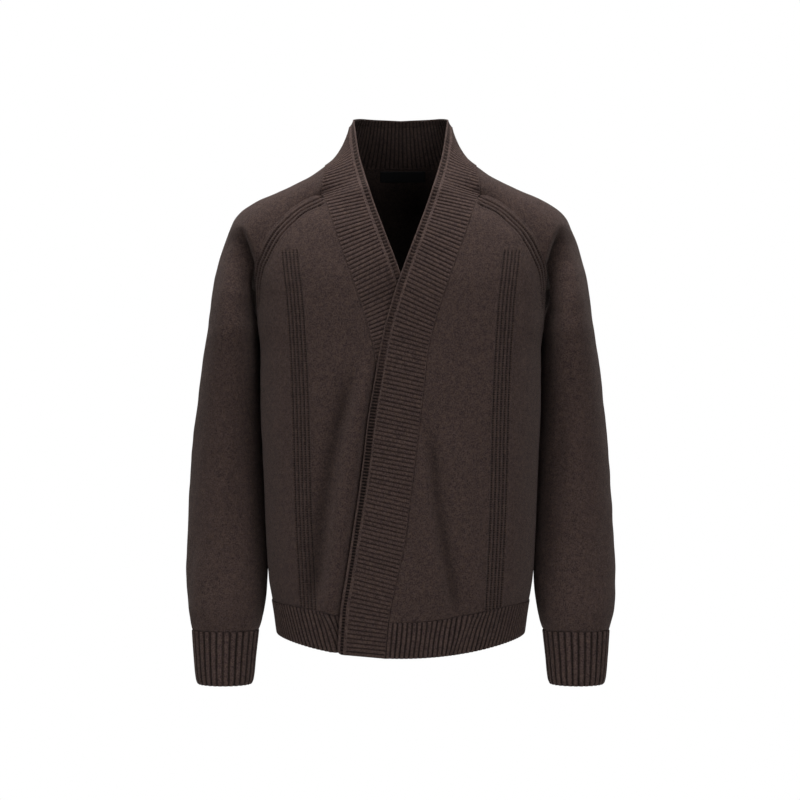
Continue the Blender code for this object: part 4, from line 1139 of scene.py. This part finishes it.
def place(tree, kind, inputs=None, **options):
    """A new node with its options set and its inputs fed."""
    node = tree.nodes.new(kind)
    node.location.x = 180 * len(tree.nodes)
    for name, value in options.items():
        setattr(node, name, value)
    feed(node, inputs or {})
    return node


def maths(tree, operation, *values, clamped=False):
    inputs = dict(enumerate(values))
    return place(tree, "ShaderNodeMath", inputs, operation=operation, use_clamp=clamped).outputs[0]


def scaled(tree, colour, by):
    return place(tree, "ShaderNodeVectorMath", {0: colour, "Scale": by}, operation="SCALE").outputs[0]


def mix(tree, share, first, second):
    return place(tree, "ShaderNodeMix", {0: share, 6: first, 7: second}, data_type="RGBA").outputs[2]


def noise(tree, where, scale, detail):
    """Noise spread over the whole range from 0 to 1."""
    fine = place(tree, "ShaderNodeTexNoise", {"Vector": where, "Scale": scale, "Detail": detail})
    return place(tree, "ShaderNodeMapRange", {0: fine.outputs[0], 1: 0.3, 2: 0.7}).outputs[0]


def knit_stitch(tree, do, given):
    """V stitches from the wales, as a height and a mask of the gaps between them."""
    wales = place(tree, "ShaderNodeUVMap", uv_map="wales")
    parts = place(tree, "ShaderNodeSeparateXYZ", {0: wales.outputs[0]}).outputs
    wale = do("DIVIDE", parts[0], given["Width"])
    course = do("DIVIDE", parts[1], given["Height"])
    side = do("ABSOLUTE", do("SUBTRACT", do("FRACT", wale), 0.5))
    lean = do("FRACT", do("ADD", course, do("MULTIPLY", side, LEG_LEAN)))
    leg = do("SINE", do("MULTIPLY", lean, math.pi))
    bow = do("SINE", do("MULTIPLY", side, 2 * math.pi))
    sides = do("MULTIPLY_ADD", bow, 1 - LEG_SIDES, LEG_SIDES)
    rise = do("MULTIPLY", do("POWER", leg, LEG_FULLNESS), sides)
    return {"Rise": rise, "Gap": do("SUBTRACT", 1.0, rise)}


def heathered_yarn(tree, do, given):
    """Fibres of two colours spun together, with light and dark flecks."""
    where = place(tree, "ShaderNodeTexCoord").outputs["Object"]
    moved = place(tree, "ShaderNodeVectorMath", {0: where, 1: TINT_MOVED}, operation="ADD").outputs[0]
    fibre = noise(tree, where, do("DIVIDE", 1.0, given["Fibre Size"]), 2.0)
    patch = noise(tree, where, do("DIVIDE", 1.0, given["Patch Size"]), 3.0)
    tint = noise(tree, moved, do("DIVIDE", TINT_SCALE, given["Fibre Size"]), 1.0)
    blend = do("MULTIPLY", do("ADD", patch, tint), 0.5)
    mixed = mix(tree, blend, given["Yarn"], given["Second Fibre"])
    lumps = do("MULTIPLY_ADD", patch, PATCH_SHARE, fibre)
    light = do("MULTIPLY_ADD", do("MULTIPLY_ADD", lumps, 2.0, -1 - PATCH_SHARE), given["Fleck"], 1.0)
    return {"Color": scaled(tree, mixed, light), "Fibre": fibre}


def ladder_holes(tree, do, given):
    """Rows of small holes along the ladder lines, as a mask that dents the cloth and paints shade into the
    holes.

    A line's places across are whole numbers, also below zero, so the first ones are moved up by many.
    """
    where = place(tree, "ShaderNodeUVMap", uv_map="ladders").outputs[0]
    parts = place(tree, "ShaderNodeSeparateXYZ", {0: where}).outputs
    across = do("FRACT", do("ADD", parts[0], MANY_LINES + 0.5))
    apart = do("ABSOLUTE", do("SUBTRACT", across, 0.5))
    line = do("SUBTRACT", 1.0, do("DIVIDE", apart, given["Line Width"]))
    line = do("MULTIPLY", line, HOLE_STRENGTH, clamped=True)
    wave = do("COSINE", do("MULTIPLY", parts[1], 2 * math.pi))
    hole = do("MULTIPLY_ADD", wave, HOLE_WAVE, HOLE_LEVEL, clamped=True)
    strength = place(tree, "ShaderNodeAttribute", attribute_name="ladder").outputs["Fac"]
    return {"Mask": do("MULTIPLY", do("MULTIPLY", do("POWER", line, HOLE_FULLNESS), hole), strength)}


def painted_hollow_shade(tree, do, given):
    """Darkens a colour with painted shade in the cloth's grooves, holes and seams, and in its creases and on
    its inner side.
    """
    hollow = place(tree, "ShaderNodeAttribute", attribute_name="hollow").outputs["Fac"]
    deep = do("MAXIMUM", do("MULTIPLY", hollow, given["Shade"]), given["Holes"])
    return {"Color": scaled(tree, given["Color"], do("SUBTRACT", 1.0, deep))}


# The shader node groups: the inputs of each with their defaults, and its outputs.
NODE_GROUPS = {
    knit_stitch: ("Knit Stitch", {"Width": 0.0026, "Height": 0.002}, {"Rise": "Float", "Gap": "Float"}),
    heathered_yarn: (
        "Heathered Yarn",
        {"Yarn": (0.08, 0.06, 0.055, 1), "Second Fibre": (0.07, 0.06, 0.05, 1), "Fleck": 0.4,
         "Fibre Size": 0.0012, "Patch Size": 0.008},
        {"Color": "Color", "Fibre": "Float"},
    ),
    ladder_holes: ("Ladder Holes", {"Line Width": 0.34}, {"Mask": "Float"}),
    painted_hollow_shade: (
        "Hollow Shade",
        {"Color": (0.5, 0.5, 0.5, 1), "Shade": 0.7, "Holes": 0.0},
        {"Color": "Color"},
    ),
}


def node_group(wire):
    """The shader node group that a function wires, made once."""
    name, inputs, outputs = NODE_GROUPS[wire]
    group = bpy.data.node_groups.get(name)
    if group is None:
        group = bpy.data.node_groups.new(name, "ShaderNodeTree")
        for label, default in inputs.items():
            kind = "NodeSocketColor" if isinstance(default, tuple) else "NodeSocketFloat"
            socket = group.interface.new_socket(name=label, in_out="INPUT", socket_type=kind)
            socket.default_value = default
        for label, kind in outputs.items():
            group.interface.new_socket(name=label, in_out="OUTPUT", socket_type=f"NodeSocket{kind}")
        given = group.nodes.new("NodeGroupInput").outputs
        results = wire(group, functools.partial(maths, group), given)
        feed(group.nodes.new("NodeGroupOutput"), results)
    return group


def place_group(tree, wire, inputs=None):
    return place(tree, "ShaderNodeGroup", inputs, node_tree=node_group(wire)).outputs


def new_material(name):
    """A new material, with its node tree and its shader."""
    material = bpy.data.materials.new(name)
    material.use_nodes = True
    return material, material.node_tree, material.node_tree.nodes["Principled BSDF"]


def knit_material(name, stitch_width, stitch_height, shade, painted_lightening):
    """Heathered wool knit: yarn colour, stitches, fuzz, painted shade in its gaps, hollows and holes, and a
    soft sheen; the ribs' copy is painted lighter.
    """
    found = bpy.data.materials.get(name)
    if found:
        return found
    wool = bpy.context.scene.cardigan_yarn
    material, tree, shader = new_material(name)
    # The yarn's colours, times the painted lightening that makes the ribs' copy of the yarn lighter.
    yarn = place_group(tree, heathered_yarn, {
        "Yarn": (*(painted_lightening * channel for channel in wool.brown), 1),
        "Second Fibre": (*(painted_lightening * channel for channel in wool.olive), 1),
        "Fleck": wool.fleck,
        "Fibre Size": wool.fibre_size,
        "Patch Size": wool.patch_size,
    })
    stitches = place_group(tree, knit_stitch, {"Width": stitch_width, "Height": stitch_height})
    # Painted shade in the gaps between the stitches.
    gap_shaded = scaled(tree, yarn["Color"], maths(tree, "MULTIPLY_ADD", stitches["Gap"], -GAP_SHADE, 1.0))
    # The ladder holes: a dent in the bump, and painted shade in the colour.
    holes = place_group(tree, ladder_holes)["Mask"]
    hollow = place_group(tree, painted_hollow_shade, {"Color": gap_shaded, "Shade": shade, "Holes": holes})
    fuzz = maths(tree, "MULTIPLY", yarn["Fibre"], FUZZ)
    height = maths(tree, "SUBTRACT", maths(tree, "ADD", stitches["Rise"], fuzz), holes)
    bump = place(tree, "ShaderNodeBump", {"Height": height, "Strength": 0.8, "Distance": 0.0005})
    feed(shader, {
        "Base Color": hollow["Color"],
        "Normal": bump.outputs[0],
        "Roughness": 0.92,
        "Specular IOR Level": 0.08,
        "Sheen Weight": wool.sheen,
        "Sheen Roughness": 0.45,
        "Sheen Tint": (*wool.sheen_tint, 1),
    })
    return material


def plain_knit():
    gauge = bpy.context.scene.cardigan_gauge
    return knit_material("fine_plain_knit", gauge.stitch_width, gauge.stitch_height, PLAIN_SHADE, 1.0)


def rib_knit():
    gauge = bpy.context.scene.cardigan_gauge
    course = gauge.stitch_height * RIB_COURSE
    return knit_material("chunky_rib_knit", gauge.rib_stitch, course, RIB_SHADE, RIB_PAINTED_LIGHT)


def tape_material():
    """Black woven tape with a fine diagonal twill."""
    material, tree, shader = new_material("woven_tape")
    wales = place(tree, "ShaderNodeUVMap", uv_map="wales").outputs[0]
    twill = place(tree, "ShaderNodeTexWave", {"Vector": wales, "Scale": 260.0}, bands_direction="DIAGONAL")
    # The tape's colour, darkened by painted shade inside the neck.
    tape = tuple(channel * TAPE_SHADE for channel in bpy.context.scene.cardigan_yarn.tape)
    lighter = tuple(min(channel * TWILL_LIGHTER, 1) for channel in tape)
    bump = place(tree, "ShaderNodeBump", {"Height": twill.outputs[0], "Strength": 0.5, "Distance": 0.0002})
    feed(shader, {
        "Base Color": mix(tree, twill.outputs[0], (*tape, 1), (*lighter, 1)),
        "Normal": bump.outputs[0],
        "Roughness": 0.7,
        "Specular IOR Level": 0.15,
    })
    return material


def plain_faces(piece, row_step=1, inner_step=3):
    """The faces of a plain piece: a fine outer one and a coarser inner one."""
    rows, columns = piece.points.shape[:2]
    faces = []
    for down, across in ((row_step, 1), (inner_step, inner_step)):
        places = thinned(rows, down)
        if piece.closed_from is not None:
            places = np.union1d(places, [piece.closed_from])
        faces.append(Face(piece, places, thinned(columns, across)))
    return faces


class CardiganGauge(bpy.types.PropertyGroup):
    """Sizes of the knitting."""

    band_pitch: FloatProperty(
        name="Band rib pitch", description="Distance between two ribs of the band and collar",
        default=0.0058, min=0.003, unit="LENGTH", precision=4)
    hem_pitch: FloatProperty(
        name="Hem rib pitch", description="Distance between two ribs of the hem",
        default=0.0064, min=0.003, unit="LENGTH", precision=4)
    cuff_ribs: IntProperty(name="Cuff ribs", description="Ribs round each cuff", default=28, min=12)
    rib_depth: FloatProperty(
        name="Rib depth", description="Depth of the grooves between two ribs",
        default=0.0015, min=0, unit="LENGTH", precision=4)
    stitch_width: FloatProperty(
        name="Stitch width", description="Width of a plain stitch",
        default=0.0024, min=0.0005, unit="LENGTH", precision=4)
    stitch_height: FloatProperty(
        name="Stitch height", description="Height of a plain stitch",
        default=0.0019, min=0.0005, unit="LENGTH", precision=4)
    rib_stitch: FloatProperty(
        name="Rib stitch", description="Width of a stitch on a rib, which holds one wale",
        default=0.0058, min=0.001, unit="LENGTH", precision=4)


class CardiganYarn(bpy.types.PropertyGroup):
    """Colours of the yarn and of the label's tape."""

    brown: FloatVectorProperty(
        name="Yarn", description="Colour of the main fibre", subtype="COLOR",
        default=SLOT_COLOUR["plain_knit"], min=0, max=1)
    olive: FloatVectorProperty(
        name="Second fibre", description="Colour of the fibre spun in with it", subtype="COLOR",
        default=(0.080, 0.052, 0.042), min=0, max=1)
    fleck: FloatProperty(
        name="Fleck", description="How much lighter and darker single fibres are",
        default=0.42, min=0, max=1, subtype="FACTOR")
    fibre_size: FloatProperty(
        name="Fibre size", description="Size of the flecks",
        default=0.0017, min=0.0002, unit="LENGTH", precision=4)
    patch_size: FloatProperty(
        name="Patch size", description="Size of the patches where one fibre prevails",
        default=0.0055, min=0.001, unit="LENGTH", precision=4)
    sheen: FloatProperty(
        name="Sheen", description="Strength of the wool's soft sheen",
        default=0.1, min=0, max=1, subtype="FACTOR")
    sheen_tint: FloatVectorProperty(
        name="Sheen tint", description="Colour of the sheen", subtype="COLOR",
        default=(1.0, 0.84, 0.78), min=0, max=1)
    tape: FloatVectorProperty(
        name="Tape", description="Colour of the label's tape", subtype="COLOR",
        default=SLOT_COLOUR["tape"], min=0, max=1)


class CardiganStudio(bpy.types.PropertyGroup):
    """The light, the floor and the camera."""

    key_power: FloatProperty(
        name="Key power", description="Power of the large light at the front left",
        default=26.0, min=0, unit="POWER")
    fill_power: FloatProperty(
        name="Fill power", description="Power of the large light at the front right",
        default=29.0, min=0, unit="POWER")
    back_power: FloatProperty(
        name="Back power", description="Power of each of the two large lights behind",
        default=21.0, min=0, unit="POWER")
    top_power: FloatProperty(
        name="Top power", description="Power of the light above", default=90.0, min=0, unit="POWER")
    surround: FloatProperty(
        name="Surround", description="Strength of the white surround's light", default=0.03, min=0, max=2)
    floor_z: FloatProperty(
        name="Floor height", description="Height of the floor below the neck", default=-1.45, unit="LENGTH")
    camera: FloatVectorProperty(
        name="Camera", description="Place of the camera", subtype="XYZ", unit="LENGTH",
        default=(-0.001, -3.0, -0.308))
    lens: FloatProperty(
        name="Lens", description="Focal length of the camera in millimetres", default=96.43, min=20)


class CARDIGAN_OT_knit_back(bpy.types.Operator):
    """Knit the plain back with its soft folds"""

    bl_idname = "cardigan.knit_back"
    bl_label = "Knit Back"

    def execute(self, context):
        piece = cloth()["back"]
        outer, inner = plain_faces(piece, row_step=2)
        for face, sign in ((outer, 1), (inner, -1)):
            folds = sign * fold_height(BACK_FOLDS, face.middle[..., 0], face.middle[..., 2])
            folds *= ease(face.from_sides() / BACK_FOLD_SIDES)
            face.rise += folds * ease(face.away()["start"] / BACK_FOLD_HEM)
        outer.ruffle(11)
        knit(piece, outer, inner, plain_knit(), "plain_knit", ["collar_band_left", "collar_band_right"])
        return {"FINISHED"}


class CARDIGAN_OT_knit_fronts(bpy.types.Operator):
    """Knit both fronts with the ladder lines beside the raglan and down the panel"""

    bl_idname = "cardigan.knit_fronts"
    bl_label = "Knit Fronts"

    def execute(self, context):
        for word, seed in (("left", 21), ("right", 22)):
            piece = cloth()[f"front_{word}"]
            outer, inner = plain_faces(piece)
            add_ladders(outer)
            outer.ruffle(seed)
            # Painted shade in the troughs of the folds.
            folds = fold_height(FRONT_FOLDS, outer.middle[..., 0], outer.middle[..., 2])
            outer.darken(TROUGH_SHADE * np.clip(-folds / TROUGH_DEEP, 0, 1) ** TROUGH_FALL)
            rests_on = [f"collar_band_{word}", f"sleeve_{word}"]
            knit(piece, outer, inner, plain_knit(), "plain_knit", rests_on)
        return {"FINISHED"}


class CARDIGAN_OT_knit_sleeves(bpy.types.Operator):
    """Knit both raglan sleeves with the fold into the armpit"""

    bl_idname = "cardigan.knit_sleeves"
    bl_label = "Knit Sleeves"

    def execute(self, context):
        for word, seed, turned in (("left", 31, 1), ("right", 32, RIGHT_SLEEVE_TURN)):
            piece = cloth()[f"sleeve_{word}"]
            outer, inner = plain_faces(piece)
            for face, sign in ((outer, 1), (inner, -1)):
                across, z = face.wales[..., 0] * turned, face.middle[..., 2]
                face.rise += sign * fold_height(SLEEVE_FOLDS, across, z)
            outer.ruffle(seed, SLEEVE_RUFFLE)
            # Painted shade on the sleeve beside the fold into the armpit.
            beyond, share = along_arm_fold(outer.middle)
            deep = np.exp(-np.maximum(beyond, 0) / ARM_FOLD_DARK_REACH)
            deep *= ease((beyond + ARM_FOLD_DARK_LEAD) / ARM_FOLD_DARK_OVER)
            outer.darken(ARM_FOLD_DARK * deep * share)
            knit(piece, outer, inner, plain_knit(), "plain_knit", [f"collar_band_{word}", f"front_{word}"])
        return {"FINISHED"}


class CARDIGAN_OT_knit_hem(bpy.types.Operator):
    """Knit the three ribbed stretches of the hem"""

    bl_idname = "cardigan.knit_hem"
    bl_label = "Knit Hem Rib"

    def execute(self, context):
        pitch = context.scene.cardigan_gauge.hem_pitch / MM
        for seed, name in enumerate(("back", "front_left", "front_right"), 41):
            piece = cloth()[f"hem_rib_{name}"]
            knit_upright_ribs(context, piece, rib_places(piece.points[-1], pitch), seed, [name], lean_hem)
        return {"FINISHED"}


class CARDIGAN_OT_knit_cuffs(bpy.types.Operator):
    """Knit the two ribbed cuffs"""

    bl_idname = "cardigan.knit_cuffs"
    bl_label = "Knit Cuffs"

    def execute(self, context):
        steps = context.scene.cardigan_gauge.cuff_ribs * RIB_STEPS
        for word, seed in (("left", 51), ("right", 52)):
            piece = cloth()[f"cuff_{word}"]
            knit_upright_ribs(context, piece, even_places(piece.points[0], steps), seed, [f"sleeve_{word}"])
        return {"FINISHED"}


class CARDIGAN_OT_knit_bands(bpy.types.Operator):
    """Knit the front band and shawl collar, ribbed across, with a chain stitch at both its edges"""

    bl_idname = "cardigan.knit_bands"
    bl_label = "Knit Bands and Collar"

    def execute(self, context):
        gauge = context.scene.cardigan_gauge
        for word, seed in (("left", 61), ("right", 62)):
            piece = cloth()[f"collar_band_{word}"]
            places = rib_places(piece.points[:, BAND_COLUMNS // 2], gauge.band_pitch / MM)
            faces = []
            for shift, dark in ((0, BAND_GROOVE_DARK), (HALF_RIB, 1.0)):
                face = Face(piece, places, np.array(BAND_STOPS, float))
                face.rib_wales(0, gauge.rib_stitch / MM)
                border = face.away()["first"]
                if shift == 0:
                    border = face.from_sides()
                    face.rise += RIB_RISE * ease(border / RIBS_FULL)
                    add_chain(face, border)
                fade = ease((border - RIBS_START) / (RIBS_FULL - RIBS_START))
                add_ribs(face, 0, gauge.rib_depth / MM, fade, shift, seed, dark)
                faces.append(face)
            knit(piece, *faces, rib_knit(), "rib_knit", ["back", f"sleeve_{word}", f"front_{word}"])
        return {"FINISHED"}


class CARDIGAN_OT_knit_edges(bpy.types.Operator):
    """Knit the strip beyond each band: a ladder of holes and an outer cord"""

    bl_idname = "cardigan.knit_edges"
    bl_label = "Knit Band Edges"

    def execute(self, context):
        gauge = context.scene.cardigan_gauge
        for word in ("left", "right"):
            piece = cloth()[f"band_edge_{word}"]
            columns = thinned(STRIP_COLUMNS + 1)
            band = cloth()[f"collar_band_{word}"].points[:, BAND_COLUMNS // 2]
            outer = Face(piece, rung_places(piece.points[:, 0]), columns)
            inner = Face(piece, rib_places(band, gauge.band_pitch / MM), columns[::2])
            for face in (outer, inner):
                face.rib_wales(0, gauge.rib_stitch / MM)
            add_holes(outer)
            away = inner.away()
            inner.rise += (BAND_WALL - STRIP_WALL) / 2 * ease(1 - away["first"] / STRIP_THINS_OVER)
            fade = ease((away["last"] - INNER_RIBS_STOP) / INNER_RIBS_STOP_OVER)
            add_ribs(inner, 0, gauge.rib_depth / MM, fade, HALF_RIB)
            knit(piece, outer, inner, rib_knit(), "rib_knit", [f"collar_band_{word}"])
        return {"FINISHED"}


class CARDIGAN_OT_sew_label(bpy.types.Operator):
    """Sew the plain tape label inside the back of the neck"""

    bl_idname = "cardigan.sew_label"
    bl_label = "Sew Label"

    def execute(self, context):
        x = LABEL["x"] + np.linspace(-0.5, 0.5, LABEL_POINTS["columns"]) * LABEL["width"]
        z = LABEL["top"] - np.linspace(0, 1, LABEL_POINTS["rows"]) * LABEL["height"]
        points = np.array([back_point(x, np.full_like(x, level)) for level in z])
        piece = Cloth("neck_label", points, 1, LABEL_WALL, (None, None, None, None))
        piece.normals *= -np.sign(piece.normals[..., 1:2])
        piece.points = points + piece.normals * (PLAIN_WALL / 2 + SEAM_GAP + LABEL_WALL / 2)
        outer, inner = (Face(piece, thinned(len(z)), thinned(len(x))) for _ in range(2))
        stitch = hill(outer.from_sides() - LABEL_STITCH_AT, LABEL_STITCH_WIDTH)
        outer.rise -= LABEL_STITCH_DEPTH * stitch * (np.arange(len(z)) % 2)[:, None]
        knit(piece, outer, inner, tape_material(), "tape", ["back"])
        return {"FINISHED"}


class CARDIGAN_OT_set_stage(bpy.types.Operator):
    """Set the floor, the lights, the white surround and the camera"""

    bl_idname = "cardigan.set_stage"
    bl_label = "Set Stage"

    def execute(self, context):
        studio = context.scene.cardigan_studio
        self.add_floor(studio.floor_z)
        for lamp in LAMPS:
            self.add_light(lamp, getattr(studio, lamp.power))
        self.add_surround(context.scene, studio.surround)
        camera = new_object("camera", bpy.data.cameras.new("camera"))
        camera.location = studio.camera
        camera.rotation_euler = (math.pi / 2, 0, 0)
        camera.data.lens = studio.lens
        camera.data.sensor_width = SENSOR_WIDTH
        context.scene.camera = camera
        context.scene.view_settings.view_transform = "Standard"
        return {"FINISHED"}

    @staticmethod
    def add_floor(z):
        turns = np.linspace(0, 2 * math.pi, FLOOR_SIDES + 1)[:-1]
        points = [(0, 0, z)]
        points += [(r * math.cos(t), r * math.sin(t), z) for r in FLOOR_RADII for t in turns]
        around = [(i, (i + 1) % FLOOR_SIDES) for i in range(FLOOR_SIDES)]
        faces = [(0, 1 + i, 1 + j) for i, j in around]
        for level in range(1, len(FLOOR_RADII)):
            outer, inner = 1 + level * FLOOR_SIDES, 1 + (level - 1) * FLOOR_SIDES
            faces += [(inner + i, outer + i, outer + j, inner + j) for i, j in around]
        mesh = bpy.data.meshes.new("floor")
        mesh.from_pydata(points, [], faces)
        floor = new_object("floor", mesh)
        paint, tree, shader = new_material("pale_floor")
        feed(shader, {"Base Color": (0.9, 0.9, 0.9, 1), "Roughness": 0.8})
        where = place(tree, "ShaderNodeTexCoord").outputs["Object"]
        apart = place(tree, "ShaderNodeVectorMath", {0: where, 1: (0, 0, z)}, operation="DISTANCE")
        near, far = FLOOR_FADE
        rim = place(tree, "ShaderNodeMapRange", {0: apart.outputs["Value"], 1: near, 2: far})
        seen = place(tree, "ShaderNodeLightPath").outputs["Is Camera Ray"]
        white = place(tree, "ShaderNodeEmission", {"Color": (1, 1, 1, 1)})
        share = maths(tree, "MULTIPLY", rim.outputs[0], seen)
        both = place(tree, "ShaderNodeMixShader", {0: share, 1: shader.outputs[0], 2: white.outputs[0]})
        feed(tree.nodes["Material Output"], {"Surface": both.outputs[0]})
        mesh.materials.append(paint)

    @staticmethod
    def add_light(lamp, power):
        data = bpy.data.lights.new(lamp.name, "AREA")
        data.shape, data.size, data.energy = "DISK", lamp.size, power
        light = new_object(lamp.name, data)
        light.location = lamp.at
        x, y, z = np.array(LAMPS_AIM) - np.array(lamp.at)
        light.rotation_euler = (math.atan2(math.hypot(x, y), -z), 0, math.atan2(-x, y))

    @staticmethod
    def add_surround(scene, strength):
        scene.world = bpy.data.worlds.new("white_surround")
        scene.world.use_nodes = True
        tree = scene.world.node_tree
        tree.nodes.clear()
        seen, felt = (
            place(tree, "ShaderNodeBackground", {"Color": (1, 1, 1, 1), "Strength": light})
            for light in (1.0, strength)
        )
        ray = place(tree, "ShaderNodeLightPath").outputs["Is Camera Ray"]
        both = place(tree, "ShaderNodeMixShader", {0: ray, 1: felt.outputs[0], 2: seen.outputs[0]})
        place(tree, "ShaderNodeOutputWorld", {"Surface": both.outputs[0]})


STEPS = (
    CARDIGAN_OT_knit_back,
    CARDIGAN_OT_knit_fronts,
    CARDIGAN_OT_knit_sleeves,
    CARDIGAN_OT_knit_hem,
    CARDIGAN_OT_knit_cuffs,
    CARDIGAN_OT_knit_bands,
    CARDIGAN_OT_knit_edges,
    CARDIGAN_OT_sew_label,
    CARDIGAN_OT_set_stage,
)


class CARDIGAN_PT_steps(bpy.types.Panel):
    """Lists the steps and their sizes and colours"""

    bl_idname = "CARDIGAN_PT_steps"
    bl_label = "Cardigan"
    bl_space_type = "VIEW_3D"
    bl_region_type = "UI"
    bl_category = "Cardigan"

    def draw(self, context):
        for group in SETTINGS:
            box = self.layout.box()
            settings = getattr(context.scene, group)
            for name in settings.__annotations__:
                box.prop(settings, name)
        for step in STEPS:
            self.layout.operator(step.bl_idname)


SETTINGS = {
    "cardigan_gauge": CardiganGauge,
    "cardigan_yarn": CardiganYarn,
    "cardigan_studio": CardiganStudio,
}


def register():
    for made in (*SETTINGS.values(), *STEPS, CARDIGAN_PT_steps):
        bpy.utils.register_class(made)
    for name, group in SETTINGS.items():
        setattr(bpy.types.Scene, name, PointerProperty(type=group))


def unregister():
    for name in SETTINGS:
        delattr(bpy.types.Scene, name)
    for made in (CARDIGAN_PT_steps, *STEPS[::-1], *SETTINGS.values()):
        bpy.utils.unregister_class(made)


def main():
    register()
    for step in STEPS:
        getattr(bpy.ops.cardigan, step.bl_idname.split(".")[1])()


if __name__ == "__main__":
    main()
